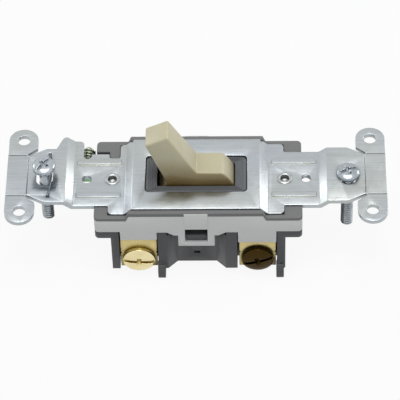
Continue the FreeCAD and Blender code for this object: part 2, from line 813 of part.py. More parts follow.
def cut_base_side(base, side):
    """Terminal pockets, room for the frame's panel and the middle recess, on one long side."""
    pockets = [rectangle(x0, x1, -REACH, -S.band_bottom) for x0, x1 in
               ((-S.pocket_left_start, -S.pocket_left_end), (S.pocket_right_start, S.pocket_right_end))]
    base.pocket(pockets, *side_box(side, pocket_back_y, REACH), "y")
    spread = S.right_skirt_start + 2 * S.fit
    strip = rectangle(-spread, spread, -S.mid_band_bottom - S.fit, REACH)
    base.pocket([strip], *side_box(side, plug_half_width, REACH), "y")
    notch_x = S.centre_slant_top_x + S.fit
    notch = rectangle(-notch_x, notch_x, -S.centre_slant_bottom - S.fit, REACH)
    base.pocket([notch], *side_box(side, plug_half_width, REACH), "y")
    flare_x = S.recess_flat_x + (S.body_half_width - recess_y)
    recess = polygon([(-S.recess_flat_x, side * recess_y), (S.recess_flat_x, side * recess_y),
                      (flare_x, side * S.body_half_width), (flare_x, side * REACH),
                      (-flare_x, side * REACH), (-flare_x, side * S.body_half_width)])
    base.pocket([recess], -REACH, -S.band_bottom)
    catch = rectangle(-S.catch_half_x, S.catch_half_x, S.fit - S.window_bottom,
                      S.fit - S.window_bottom + S.catch_height)
    base.pad([catch], *side_box(side, recess_y - S.catch_root, catch_y), "y")
    vent = rectangle(-S.vent_half_x, S.vent_half_x, -S.vent_drop - S.vent_half_height,
                     S.vent_half_height - S.vent_drop)
    base.pocket([vent], *side_box(side, recess_y - S.vent_depth, recess_y), "y")


def add_fins(base):
    for side in (-1, 1):
        root_y = side * (S.body_half_width - S.frame_wall)
        low_y = side * (S.body_half_width - S.fin_width)
        profile = polygon([(root_y, -S.fin_top), (side * (S.body_half_width + S.fin_lip), -S.fin_top),
                           (side * fin_out_y, -S.fin_top - S.fin_shoulder),
                           (side * fin_out_y, S.fin_shoulder - S.fin_bottom),
                           (side * (fin_out_y - S.fin_foot), -S.fin_bottom), (low_y, -S.fin_bottom),
                           (root_y, -S.base_bottom)])
        for start in (-S.fin_left_x, S.fin_right_x):
            base.pad([profile], start, start + S.fin_width, "x")


# ---------------------------------------------------------------- toggle


def make_toggle():
    toggle = Piece("toggle")
    frame = toggle_frame
    toggle.pad([circle(0.0, toggle_pivot, S.skirt_radius)], -S.toggle_half_width, S.toggle_half_width, "y")
    far = S.skirt_radius * 1.5
    shoulder = (S.skirt_radius * S.shoulder_high_angle.cos(), S.skirt_radius * S.shoulder_high_angle.sin())
    waste = [(S.lever_root_half, S.lever_root_height), shoulder, (far, shoulder[1]), (far, far)]
    back = [(S.lever_root_back, S.lever_root_height)] + waste[1:]
    toggle.pocket([frame.outline(waste + mirrored(back))], -S.toggle_half_width, S.toggle_half_width, "y")
    skirt_low = -S.skirt_radius * S.skirt_low_angle.sin()
    under = [(-far, -far), (far, -far), (far, skirt_low), (-far, skirt_low)]
    toggle.pocket([frame.outline(under)], -S.toggle_half_width, S.toggle_half_width, "y")
    add_lever(toggle)
    toggle.pad([circle(0.0, toggle_pivot, S.trunnion_radius)], -S.trunnion_reach, S.trunnion_reach, "y")
    post = [(-S.post_half, -S.post_bottom), (S.post_half, -S.post_bottom),
            (S.post_half, skirt_low + 1.0), (-S.post_half, skirt_low + 1.0)]
    toggle.pad([frame.outline(post)], -S.post_half, S.post_half, "y")
    toggle.pocket([circle(0.0, 0.0, S.plunger_radius + S.running_gap)], -S.post_bottom, -S.bore_top, frame)
    return toggle


def add_lever(toggle):
    """The lever's root is flush with the skirt's sides, and it tapers from there to its tip."""
    sunk = S.lever_root_height - S.lever_sunk
    root_section = rectangle(-S.lever_root_back, S.lever_root_half, -S.toggle_half_width, S.toggle_half_width)
    tip_section = rectangle(-S.lever_tip_half, S.lever_tip_half, -S.toggle_tip_half_width,
                            S.toggle_tip_half_width)
    toggle.pad([root_section], sunk, S.lever_root_height, toggle_frame)
    toggle.loft(toggle_frame, [(root_section, S.lever_root_height), (tip_section, S.lever_tip_height)])
    lean = math.radians(float(S.toggle_lean))
    direction = Vector(-math.sin(lean), 0, math.cos(lean))
    pivot = Vector(0, 0, float(toggle_pivot))

    def on_tip(edge):
        heights = [(vertex.Point - pivot).dot(direction) for vertex in edge.Vertexes]
        return min(heights) > float(S.lever_tip_height) - 0.1

    toggle.fillet(S.lever_edge_round, on_tip)


def make_plunger():
    plunger = Piece("plunger")
    plunger.pad([circle(0.0, 0.0, S.plunger_radius)], -S.plunger_reach, -S.plunger_head, toggle_frame)
    tip = toggle_frame.point(0.0, -S.plunger_reach)
    plunger.fillet(S.plunger_tip_radius, ring(S.plunger_radius, 2, tip[1]))
    return plunger


def make_toggle_spring():
    """A coil between the bore's end and the plunger's head, swept along a helix."""
    coil_radius = float(S.plunger_radius - S.spring_wire - S.fit)
    height = float(S.plunger_head - S.bore_top) - 2 * float(S.spring_wire) - 0.1
    helix = Part.makeHelix(height / float(S.spring_turns), height, coil_radius)
    profile = Part.Wire(Part.makeCircle(float(S.spring_wire), Vector(coil_radius, 0, 0), Vector(0, 1, 0)))
    shape = Part.Wire(helix).makePipeShell([profile], True, True)
    spring = doc.addObject("Part::Feature", "toggle_spring")
    spring.Shape = shape
    x, z = toggle_frame.point(0.0, S.spring_wire + 0.05 - S.plunger_head)
    lean = Rotation(Vector(0, 1, 0), -float(S.toggle_lean))
    spring.Placement = Placement(Vector(float(x), 0, float(z)), lean)
    spring.Label = "toggle_spring"
    return spring


# ---------------------------------------------------------------- contacts and terminals


def make_rocker():
    rocker = Piece("rocker")
    frame = rocker_frame
    half = S.rocker_half_width
    outer = S.trough_radius + S.rocker_thickness
    centre = frame.point(0.0, outer)
    rocker.pad([circle(*centre, outer), circle(*centre, S.trough_radius)], -half, half, "y")
    rise = S.trough_radius - arm_top + S.rocker_thickness
    edge = root(S.trough_radius * S.trough_radius - rise * rise)
    far = outer * 2.5
    waste = [(-far, arm_top), (far, arm_top), (far, far), (-far, far)]
    rocker.pocket([frame.outline(waste)], -half, half, "y")
    for side in (-1, 1):
        arm = [(side * edge, arm_low), (side * S.rocker_half_length, arm_low),
               (side * S.rocker_half_length, arm_top), (side * edge, arm_top)]
        rocker.pad([frame.outline(arm)], -half, half, "y")
    return rocker


def make_moving_contacts():
    buttons = []
    for side, name in ((-1, "left"), (1, "right")):
        button = Piece(f"moving_contact_{name}")
        button.pad([circle(side * S.contact_x, 0.0, S.contact_radius)], arm_low - S.contact_height, arm_low,
                   rocker_frame)
        buttons.append(button)
    return group("moving_contacts", buttons)


def make_fixed_contacts():
    buttons = []
    for side, name in ((-1, "left"), (1, "right")):
        button = Piece(f"fixed_contact_{name}")
        button.pad([circle(side * S.contact_x, 0.0, S.contact_radius)], arm_level, fixed_contact_top)
        buttons.append(button)
    return group("fixed_contacts", buttons)


# each terminal's side along X, side along Y, distance from the middle and the skirt's bottom above it
TERMINALS = {
    "left": (-1, -1, S.terminal_left_x, S.left_skirt_bottom),
    "common": (1, -1, S.terminal_right_x, S.right_skirt_bottom),
    "far": (1, 1, S.terminal_right_x, S.right_skirt_bottom),
}
plate_top = -S.left_skirt_bottom - S.plate_top_inset
plate_low = S.plate_low_inset - S.clamp_bottom


def terminal_plate(node, name):
    """The upright sheet at a pocket's back with its tapped hole."""
    side_x, side_y, x, _ = TERMINALS[name]
    plate = Piece(node)
    left, right = side_x * x - S.clamp_half_width, side_x * x + S.clamp_half_width
    outline = rectangle(left, right, plate_low, plate_top)
    levels = side_box(side_y, pocket_back_y, pocket_back_y + S.terminal_sheet)
    plate.pad([outline], *levels, "y")
    hole = circle(side_x * x, -S.terminal_drop, S.screw_radius + S.running_gap)
    plate.pocket([hole], *levels, "y")
    return plate


def traveller_arm(name, clearance):
    """The arm's outline in plan, from the pocket to the contact, grown by a clearance."""
    side_x, side_y, _, _ = TERMINALS[name]
    middle = side_x * S.contact_x
    half = S.arm_half_width + clearance
    reach = side_box(side_y, -S.contact_radius, pocket_back_y)
    return rectangle(middle - half, middle + half, *reach)


def make_traveller_terminal(node, name):
    plate = terminal_plate(node, name)
    plate.pad([traveller_arm(name, 0.0)], arm_level - S.terminal_sheet, arm_level)
    return plate


common_reach_x = S.cavity_half_x - S.fit
common_step_x = S.terminal_right_x - S.clamp_half_width + 2 * S.fit


def make_common_terminal():
    """A sheet from the near right pocket along the floor to the post that carries the rocker."""
    plate = terminal_plate("common_terminal", "common")
    floor_level = floor_top + S.terminal_sheet
    half = S.rocker_half_width
    plate.pad([rectangle(common_step_x, common_reach_x, -pocket_back_y, half)], floor_top, floor_level)
    plate.pad([rectangle(-S.terminal_sheet / 2, common_reach_x, -half, half)], floor_top, floor_level)
    post_half = S.terminal_sheet / 2
    plate.pad([rectangle(-post_half, post_half, -half, half)], floor_level, rocker_pivot - S.running_gap)
    return plate


def cut_terminal_passages(base):
    """Slots for the sheets and bores for the screws' ends behind the terminal pockets."""
    for name, (side_x, side_y, x, _) in TERMINALS.items():
        if name == "common":
            slot = rectangle(common_step_x - S.fit, common_reach_x + S.fit, -pocket_back_y, 0.0)
            base.pocket([slot], floor_top, floor_top + S.terminal_sheet + S.fit)
        else:
            base.pocket([traveller_arm(name, S.fit)], arm_level - S.terminal_sheet - S.fit, arm_level + S.fit)
        bore = circle(side_x * x, -S.terminal_drop, S.screw_radius + 3 * S.fit)
        tip_y = clamp_front_y - S.screw_length - 3 * S.fit
        base.pocket([bore], *side_box(side_y, tip_y, pocket_back_y), "y")


def make_clamp_plate(node, name):
    side_x, side_y, x, skirt = TERMINALS[name]
    plate = Piece(node)
    middle = side_x * x
    left, right = middle - S.clamp_half_width, middle + S.clamp_half_width
    levels = side_box(side_y, clamp_front_y - S.clamp_thickness, clamp_front_y)
    plate.pad([rectangle(left, right, -S.clamp_bottom, -skirt - 2 * S.fit)], *levels, "y")
    hole = circle(middle, -S.terminal_drop, S.screw_radius + S.running_gap)
    plate.pocket([hole], *levels, "y")
    notches = [rectangle(x0, x1, -S.clamp_notch_drop, S.clamp_groove - S.clamp_notch_drop)
               for x0, x1 in ((left, left + S.clamp_groove), (right - S.clamp_groove, right))]
    plate.pocket(notches, *levels, "y")
    return plate


def cut_driver_recess(screw, x, other, low, high, axis, radius):
    """A slot across the head and a shorter arm square to it."""
    half = S.recess_width / 2
    arm = radius * S.recess_arm
    long_slot = rectangle(x - radius, x + radius, other - half, other + half)
    short_slot = rectangle(x - half, x + half, other - arm, other + arm)
    screw.pocket([long_slot], low, high, axis)
    screw.pocket([short_slot], low, high, axis)


def make_terminal_screw(node, name):
    side_x, side_y, x, _ = TERMINALS[name]
    screw = Piece(node)
    middle = side_x * x
    height = -S.terminal_drop
    face = clamp_front_y + S.screw_head_height
    screw.pad([circle(middle, height, S.screw_head_radius)], *side_box(side_y, clamp_front_y, face), "y")
    screw.fillet(S.screw_head_height * 0.4, ring(S.screw_head_radius, 1, side_y * face))
    shank = side_box(side_y, clamp_front_y - S.screw_length, clamp_front_y)
    screw.pad([circle(middle, height, S.screw_radius)], *shank, "y")
    cut_driver_recess(screw, middle, height, *side_box(side_y, face - S.recess_depth, face), "y",
                      S.screw_head_radius)
    return screw


def make_ground_screw():
    screw = Piece("ground_screw")
    x, z = -S.ground_x, -S.ground_drop
    head_face = tab_inner_y - S.ground_head_height
    screw.pad([hexagon(x, z, S.ground_head_radius)], head_face, tab_inner_y, "y")
    screw.pad([circle(x, z, S.ground_shank_radius)], tab_inner_y, tab_inner_y + S.ground_length, "y")
    half = S.recess_width / 2
    slot = rectangle(x - S.ground_head_radius, x + S.ground_head_radius, z - half, z + half)
    screw.pocket([slot], head_face, head_face + S.recess_depth, "y")
    return screw


# ---------------------------------------------------------------- fasteners through the strap


def make_mounting_screw(node, side, lift):
    screw = Piece(node)
    x = side * box_screw_x
    seat = ear_top + lift
    top = seat + S.mount_head_height
    screw.pad([circle(x, 0.0, S.mount_head_radius)], seat, top)
    screw.fillet(S.mount_head_height * 0.6, ring(S.mount_head_radius, 2, top))
    screw.pad([circle(x, 0.0, S.mount_neck_radius)], -S.mount_neck_end, seat)
    screw.pad([circle(x, 0.0, S.mount_screw_radius)], seat - S.mount_length, -S.mount_neck_end)
    screw.chamfer(S.mount_screw_radius * 0.5, ring(S.mount_screw_radius, 2, seat - S.mount_length))
    cut_driver_recess(screw, x, 0.0, top - S.recess_depth, top, "z", S.mount_head_radius)
    return screw


def make_ground_clip():
    """A wire along the strap's top, past the left mounting screw, with both ends through holes."""
    radius = float(S.clip_wire_radius)
    level = float(ear_top) + radius + 0.05
    hole_x = -float(S.clip_hole_x)
    bow_x = -float(box_screw_x - S.mount_neck_radius) + radius + float(S.running_gap)
    y = float(S.clip_hole_y)
    points = [Vector(hole_x, y, -0.6), Vector(hole_x, y, level), Vector(bow_x, y * 0.2, level),
              Vector(bow_x, -y * 0.2, level), Vector(hole_x, -y, level), Vector(hole_x, -y, -0.6)]
    path = rounded_path(points, 2.0 * radius)
    start = Part.Wire(Part.makeCircle(radius, points[0], points[1] - points[0]))
    clip = doc.addObject("Part::Feature", "ground_clip")
    clip.Shape = path.makePipeShell([start], True, False)
    clip.Label = "ground_clip"
    return clip


def rounded_path(points, radius):
    """Straight runs joined by tangent arcs."""
    edges = []
    cursor = points[0]
    for before, corner, after in zip(points, points[1:], points[2:]):
        towards_start = (before - corner).normalize()
        towards_end = (after - corner).normalize()
        half_angle = towards_start.getAngle(towards_end) / 2
        setback = radius / math.tan(half_angle)
        bisector = (towards_start + towards_end).normalize()
        middle = corner + bisector * (radius / math.sin(half_angle) - radius)
        arc_start = corner + towards_start * setback
        arc_end = corner + towards_end * setback
        edges.append(Part.LineSegment(cursor, arc_start).toShape())
        edges.append(Part.Arc(arc_start, middle, arc_end).toShape())
        cursor = arc_end
    edges.append(Part.LineSegment(cursor, points[-1]).toShape())
    return Part.Wire(edges)


def make_rivets():
    rivets = []
    for x, name in ((-S.rivet_left_x, "left"), (S.rivet_right_x, "right")):
        rivet = Piece(f"rivet_{name}")
        low = -S.flange_bottom - S.rivet_foot_height
        high = mid_top + S.rivet_flare_height
        rivet.pad([circle(x, 0.0, S.rivet_radius)], low, high)
        rivet.pad([circle(x, 0.0, S.rivet_flare)], mid_top, high)
        rivet.pad([circle(x, 0.0, S.rivet_foot_radius)], low, -S.flange_bottom)
        rivet.pocket([circle(x, 0.0, S.rivet_bore)], low, high)
        rivets.append(rivet)
    return group("rivets", rivets)


# ---------------------------------------------------------------- assembly


def make_all():
    pieces = [
        make_strap(),
        make_cover(),
        make_frame_band(),
        make_base(),
        make_toggle(),
        make_plunger(),
        make_toggle_spring(),
        make_rocker(),
        make_moving_contacts(),
        make_fixed_contacts(),
        make_traveller_terminal("traveller_terminal_left", "left"),
        make_traveller_terminal("traveller_terminal_far", "far"),
        make_common_terminal(),
        make_ground_screw(),
        make_ground_clip(),
        make_mounting_screw("mounting_screw_left", -1, S.mount_lift),
        make_mounting_screw("mounting_screw_right", 1, 0.0),
        make_rivets(),
    ]
    for name in TERMINALS:
        pieces.append(make_clamp_plate(f"clamp_plate_{name}", name))
        pieces.append(make_terminal_screw(f"terminal_screw_{name}", name))
    return [piece.body if isinstance(piece, Piece) else piece for piece in pieces]


def check_document():
    failed = [item.Label for item in doc.Objects if {"Invalid", "Error"} & set(item.State)]
    if failed:
        raise ValueError(f"failed objects: {failed}")


def export(parts):
    os.makedirs("parts", exist_ok=True)
    for part in parts:
        if part.Shape.isNull() or not part.Shape.isValid():
            raise ValueError(f"{part.Label} has no valid shape")
        part.Shape.exportStep(f"parts/{part.Label}.step")


fill_sheet()
parts = make_all()
doc.recompute()
check_document()
export(parts)
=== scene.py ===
"""A three-way toggle wall switch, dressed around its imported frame.

The switch lies with its wall face up: X runs along the strap, Y across it and Z out of the wall.
Every length is in metres. Each sub-assembly is a class that builds and dresses its own pieces.
"""

import logging
import math
from dataclasses import dataclass, field
from enum import Enum
from typing import Any, Callable, Iterable, Mapping, Sequence

import bmesh
import bpy
from mathutils import Matrix, Vector


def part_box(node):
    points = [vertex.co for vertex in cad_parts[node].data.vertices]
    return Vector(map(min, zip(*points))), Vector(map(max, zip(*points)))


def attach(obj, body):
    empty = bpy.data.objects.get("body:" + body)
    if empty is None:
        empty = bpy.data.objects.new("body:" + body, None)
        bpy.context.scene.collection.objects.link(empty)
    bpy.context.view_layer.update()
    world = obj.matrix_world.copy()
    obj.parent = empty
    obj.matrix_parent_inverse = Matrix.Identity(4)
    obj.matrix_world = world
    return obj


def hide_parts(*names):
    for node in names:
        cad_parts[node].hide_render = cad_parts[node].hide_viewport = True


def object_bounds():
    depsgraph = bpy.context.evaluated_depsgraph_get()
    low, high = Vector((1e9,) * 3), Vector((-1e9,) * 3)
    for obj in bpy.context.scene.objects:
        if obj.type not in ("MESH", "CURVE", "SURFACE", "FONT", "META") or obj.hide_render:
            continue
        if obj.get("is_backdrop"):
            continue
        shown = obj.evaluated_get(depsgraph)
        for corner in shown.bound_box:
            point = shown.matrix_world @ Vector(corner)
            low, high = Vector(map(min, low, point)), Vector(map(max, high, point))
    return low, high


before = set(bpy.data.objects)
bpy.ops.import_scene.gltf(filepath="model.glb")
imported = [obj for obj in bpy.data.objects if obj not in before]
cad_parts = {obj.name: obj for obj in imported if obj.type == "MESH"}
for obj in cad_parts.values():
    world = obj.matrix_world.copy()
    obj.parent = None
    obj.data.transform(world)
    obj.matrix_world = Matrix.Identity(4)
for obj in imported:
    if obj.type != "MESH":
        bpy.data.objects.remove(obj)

logging.basicConfig(level=logging.INFO, format="%(name)s: %(message)s")
LOG = logging.getLogger("toggle_switch")

MM = 0.001
Code = str
Colour = tuple[float, float, float, float]
Profile = Sequence[tuple[float, float]]
Node = bpy.types.Node
Socket = bpy.types.NodeSocket
Sockets = Mapping[str, Socket]
Thing = bpy.types.Object
Work = bmesh.types.BMesh
Ring = list[bmesh.types.BMVert]

FLOAT = "NodeSocketFloat"
VECTOR = "NodeSocketVector"
WHITE: Colour = (1.0, 1.0, 1.0, 1.0)
SHARP = math.radians(34.0)


def paint(code: Code) -> Colour:
    """Turn six hexadecimal sRGB digits into a linear colour with full alpha."""
    channels = [int(code[i:i + 2], 16) / 255 for i in (0, 2, 4)]
    linear = [c / 12.92 if c <= 0.04045 else ((c + 0.055) / 1.055) ** 2.4 for c in channels]
    return (linear[0], linear[1], linear[2], 1.0)


# ------------------------------------------------------------------ node trees


class Board:
    """A node tree under construction."""

    def __init__(self, tree: bpy.types.NodeTree) -> None:
        """Keep the shader or geometry tree that nodes are added to."""
        self.tree = tree

    def add(self, kind: str, values: Mapping[Any, Any] | None = None, **settings: Any) -> Node:
        """Add a node, set its properties and feed its inputs.

        Args:
            kind: The node's type name.
            values: Inputs by name or index: a socket, a node, a plain value or a colour's code.
            **settings: The node's own properties.

        Returns:
            The new node.
        """
        node = self.tree.nodes.new(kind)
        for name, setting in settings.items():
            setattr(node, name, setting)
        for key, value in (values or {}).items():
            self.feed(node.inputs[key], value)
        return node

    def feed(self, socket: Socket, value: Any) -> None:
        """Link a source, or a node's first output, to a socket, or set its value or its colour's code."""
        if isinstance(value, bpy.types.Node):
            value = value.outputs[0]
        if isinstance(value, bpy.types.NodeSocket):
            self.tree.links.new(value, socket)
        else:
            socket.default_value = paint(value) if isinstance(value, str) else value

    def maths(self, operation: str, first: Any, second: Any = 0.0, clamp: bool = False) -> Socket:
        """Combine two numbers, each a source or a value, and keep the result from 0 to 1 on request."""
        values = {0: first, 1: second}
        return self.add("ShaderNodeMath", values, operation=operation, use_clamp=clamp).outputs[0]

    def blend(self, factor: Any, first: Any, second: Any) -> Socket:
        """Blend two colours; the factor says how much of the second shows."""
        return self.add("ShaderNodeMix", {0: factor, 6: first, 7: second}, data_type="RGBA").outputs[2]

    def spread(self, value: Any, low: float, high: float, start: Any = 0.0, end: Any = 1.0) -> Socket:
        """Map a number from one range to another, clamped.

        Args:
            value: A source or number.
            low: The result at the range's start.
            high: The result at the range's end.
            start: Where the input range starts.
            end: Where the input range ends.

        Returns:
            The mapped number's socket.
        """
        return self.add("ShaderNodeMapRange", {0: value, 1: start, 2: end, 3: low, 4: high}).outputs[0]

    def noise(self, place: Socket, scale: Any, detail: float, roughness: float = 0.5) -> Node:
        """Add a noise texture at a place; its first output is the noise's value."""
        return self.add("ShaderNodeTexNoise", {"Vector": place, "Scale": scale, "Detail": detail,
                                               "Roughness": roughness})

    def axis(self, vector: Socket, name: str) -> Socket:
        """One axis of a vector."""
        return self.add("ShaderNodeSeparateXYZ", {0: vector}).outputs[name]


def fresh_board(owner: bpy.types.Material | bpy.types.World) -> Board:
    """Clear a material's or world's nodes and start its board."""
    owner.use_nodes = True
    owner.node_tree.nodes.clear()
    return Board(owner.node_tree)


def add_inputs(tree: bpy.types.NodeTree, inputs: Mapping[str, tuple[str, Any]]) -> None:
    """Give a tree its named inputs, each with a socket type and a default."""
    for label, (kind, default) in inputs.items():
        socket = tree.interface.new_socket(name=label, in_out="INPUT", socket_type=kind)
        if default is not None:
            socket.default_value = default


class Effect:
    """A shared shader group with named inputs and outputs, built once."""

    def __init__(self, name: str, inputs: Mapping[str, tuple[str, Any]], outputs: Mapping[str, str],
                 draw: Callable[[Board, Sockets, Sockets], None]) -> None:
        """Build the group.

        Args:
            name: The group's name.
            inputs: Each input's socket type and default.
            outputs: Each output's socket type.
            draw: Draws the nodes between the group's inputs and its results.
        """
        self.tree = bpy.data.node_groups.new(name, "ShaderNodeTree")
        self.placed = "Vector" in inputs
        add_inputs(self.tree, inputs)
        for label, kind in outputs.items():
            self.tree.interface.new_socket(name=label, in_out="OUTPUT", socket_type=kind)
        board = Board(self.tree)
        draw(board, board.add("NodeGroupInput").outputs, board.add("NodeGroupOutput").inputs)


def draw_clouds(board: Board, given: Sockets, result: Sockets) -> None:
    """Soft patches from 0 to 1."""
    noise = board.noise(given["Vector"], given["Scale"], 4.0, 0.55)
    low = board.maths("SUBTRACT", 0.5, given["Softness"])
    high = board.maths("ADD", 0.5, given["Softness"])
    board.feed(result["Mask"], board.spread(noise, 0.0, 1.0, low, high))


def draw_edges(board: Board, given: Sockets, result: Sockets) -> None:
    """A mask of rubbed edges that also paints a highlight along them, and the normal rounded over them."""
    rounded = board.add("ShaderNodeBevel", {"Radius": given["Radius"]}, samples=6)
    plain = board.add("ShaderNodeNewGeometry").outputs["Normal"]
    facing = board.add("ShaderNodeVectorMath", {0: rounded, 1: plain}, operation="DOT_PRODUCT")
    bend = board.maths("SUBTRACT", 1.0, facing.outputs["Value"])
    patchy = board.spread(board.noise(given["Vector"], 900.0, 3.0), 0.45, 1.25, 0.35, 0.65)
    strong = board.maths("MULTIPLY", bend, given["Strength"])
    board.feed(result["Mask"], board.maths("MULTIPLY", strong, patchy, clamp=True))
    board.feed(result["Normal"], rounded)


def draw_grain(board: Board, given: Sockets, result: Sockets) -> None:
    """Fine moulded texture, as a height and a mask."""
    fine = board.noise(given["Vector"], given["Scale"], 5.0, 0.62)
    coarse_scale = board.maths("MULTIPLY", given["Scale"], 0.11)
    coarse = board.noise(given["Vector"], coarse_scale, 2.0)
    height = board.maths("ADD", board.maths("MULTIPLY", fine, 0.7), board.maths("MULTIPLY", coarse, 0.3))
    board.feed(result["Height"], height)
    board.feed(result["Mask"], board.spread(fine, 0.0, 1.0, 0.35, 0.65))


def draw_rolling(board: Board, given: Sockets, result: Sockets) -> None:
    """Long fine lines left by rolling or brushing, along the vector's long way."""
    stretched = board.add("ShaderNodeVectorMath", {0: given["Vector"], 1: given["Stretch"]},
                          operation="MULTIPLY")
    board.feed(result["Mask"], board.spread(board.noise(stretched, 1.0, 4.0, 0.7), 0.0, 1.0, 0.3, 0.7))


def draw_scratches(board: Board, given: Sockets, result: Sockets) -> None:
    """Sparse thin scratches."""
    bent = board.blend(0.12, given["Vector"], board.noise(given["Vector"], 60.0, 2.0).outputs["Color"])
    cells = board.add("ShaderNodeTexVoronoi", {"Vector": bent, "Scale": given["Scale"]},
                      feature="DISTANCE_TO_EDGE")
    line = board.spread(cells, 1.0, 0.0, 0.0, 0.012)
    few = board.spread(board.noise(given["Vector"], 170.0, 1.0), 0.0, 1.0, 0.55, 0.66)
    board.feed(result["Mask"], board.maths("MULTIPLY", line, few, clamp=True))


def draw_crevices(board: Board, given: Sockets, result: Sockets) -> None:
    """A mask of inner corners and hollows, where the finishes paint shade; the plastics put dirt there as
    well.
    """
    hidden = board.add("ShaderNodeAmbientOcclusion", {"Distance": given["Distance"]}, samples=6)
    board.feed(result["Mask"], board.spread(hidden.outputs["AO"], 1.0, 0.0, 0.35, 0.95))


@dataclass(frozen=True)
class Effects:
    """The shared shader groups."""

    clouds: Effect
    edges: Effect
    grain: Effect
    rolling: Effect
    scratches: Effect
    crevices: Effect

    @staticmethod
    def build() -> "Effects":
        """Build every shared group once."""
        place = {"Vector": (VECTOR, None)}
        mask = {"Mask": FLOAT}
        return Effects(
            clouds=Effect("clouds", {**place, "Scale": (FLOAT, 80.0), "Softness": (FLOAT, 0.16)}, mask,
                          draw_clouds),
            edges=Effect("rubbed_edges", {**place, "Radius": (FLOAT, 0.0002), "Strength": (FLOAT, 3.0)},
                         {**mask, "Normal": VECTOR}, draw_edges),
            grain=Effect("moulded_grain", {**place, "Scale": (FLOAT, 4000.0)}, {**mask, "Height": FLOAT},
                         draw_grain),
            rolling=Effect("rolling_lines", {**place, "Stretch": (VECTOR, (60.0, 4000.0, 4000.0))}, mask,
                           draw_rolling),
            scratches=Effect("scratches", {**place, "Scale": (FLOAT, 130.0)}, mask, draw_scratches),
            crevices=Effect("crevices", {"Distance": (FLOAT, 0.002)}, mask, draw_crevices),
        )


# ------------------------------------------------------------------ finishes


@dataclass(frozen=True)
class Coat:
    """A material under construction: its board, its shader, the object's coordinates and the effects."""

    board: Board
    shader: Node
    place: Socket
    effects: Effects

    def effect(self, effect: Effect, **values: Any) -> Sockets:
        """Place a shared group at the object's coordinates and return its outputs by name."""
        if effect.placed:
            values["Vector"] = self.place
        return self.board.add("ShaderNodeGroup", values, node_tree=effect.tree).outputs

    def layered(self, base: Any, layers: Iterable[tuple[Socket, float, Code]]) -> Socket:
        """Lay colours over a base.

        Args:
            base: The base colour, as a socket or a code.
            layers: Each layer's mask, the mask's share and the layer's colour, from the lowest up.

        Returns:
            The layered colour.
        """
        for mask, share, colour in layers:
            base = self.board.blend(self.board.maths("MULTIPLY", mask, share), base, colour)
        return base

    def close(self, colour: Socket, roughness: float, changes: Sequence[tuple[Socket, float, float]],
              height: Socket, normal: Socket, relief: tuple[float, float]) -> None:
        """Feed the shader.

        Args:
            colour: The base colour.
            roughness: The mean roughness.
            changes: Two masks, each with the roughness that it adds where it is 0 and where it is 1.
            height: The surface's fine height.
            normal: The normal that the height bends.
            relief: The bump's strength and its distance.
        """
        board = self.board
        first, second = (board.spread(*change) for change in changes)
        rough = board.maths("ADD", board.maths("ADD", first, second), roughness, clamp=True)
        strength, distance = relief
        bump = board.add("ShaderNodeBump", {"Height": height, "Normal": normal, "Strength": strength,
                                            "Distance": distance})
        for name, value in (("Base Color", colour), ("Roughness", rough), ("Normal", bump)):
            board.feed(self.shader.inputs[name], value)


@dataclass(frozen=True)
class Finish:
    """A finish with its name, the record's slot and its main colour."""

    name: str
    slot: str
    colour: Code

    def material(self, effects: Effects) -> bpy.types.Material:
        """Return the finish's material, made on first use."""
        known = bpy.data.materials.get(self.name)
        if known is not None:
            return known
        material = bpy.data.materials.new(self.name)
        board = fresh_board(material)
        shader = board.add("ShaderNodeBsdfPrincipled")
        board.add("ShaderNodeOutputMaterial", {"Surface": shader}).is_active_output = True
        place = board.add("ShaderNodeTexCoord").outputs["Object"]
        self.draw(Coat(board, shader, place, effects))
        return material

    def draw(self, coat: Coat) -> None:
        """Draw the finish; each kind of finish has its own."""
        raise NotImplementedError


@dataclass(frozen=True)
class PlatedSteel(Finish):
    """Zinc plate with rolling lines, cloudy passivation, painted shade in its corners, dark patches of
    painted reflection and rubbed edges with a painted highlight.
    """

    tint: Code = "adb0a9"
    bright: Code = "dde5ec"
    # The shade colour paints dark reflection patches and the shade in corners; both stand in for light.
    shade: Code = "4d555c"
    roughness: float = 0.3
    stretch: tuple[float, float, float] = (70.0, 5000.0, 5000.0)
    shading: float = 0.5
    reflection_patches: float = 0.0
    reach: float = 1.2 * MM

    def draw(self, coat: Coat) -> None:
        """Draw plated steel."""
        shared, board = coat.effects, coat.board
        clouds = coat.effect(shared.clouds, Scale=34.0)["Mask"]
        fine = coat.effect(shared.clouds, Scale=420.0, Softness=0.22)["Mask"]
        lines = coat.effect(shared.rolling, Stretch=self.stretch)["Mask"]
        edges = coat.effect(shared.edges, Radius=0.22 * MM, Strength=3.4)
        scratches = coat.effect(shared.scratches)["Mask"]
        corners = coat.effect(shared.crevices, Distance=self.reach)["Mask"]
        # Painted light in these layers: reflection patches, shade in the corners and the highlight on rubbed
        # edges.
        colour = coat.layered(self.colour, [
            (clouds, 0.75, self.tint), (lines, 0.3, self.bright), (fine, self.reflection_patches, self.shade),
            (corners, self.shading, self.shade), (edges["Mask"], 0.6, self.bright),
            (scratches, 0.45, self.bright)])
        height = board.maths("ADD", board.maths("MULTIPLY", lines, 0.5), board.maths("MULTIPLY", fine, 0.5))
        coat.shader.inputs["Metallic"].default_value = 1.0
        coat.close(colour, self.roughness, [(fine, -0.05, 0.07), (lines, -0.03, 0.05)], height,
                   edges["Normal"], (0.12, 0.04 * MM))


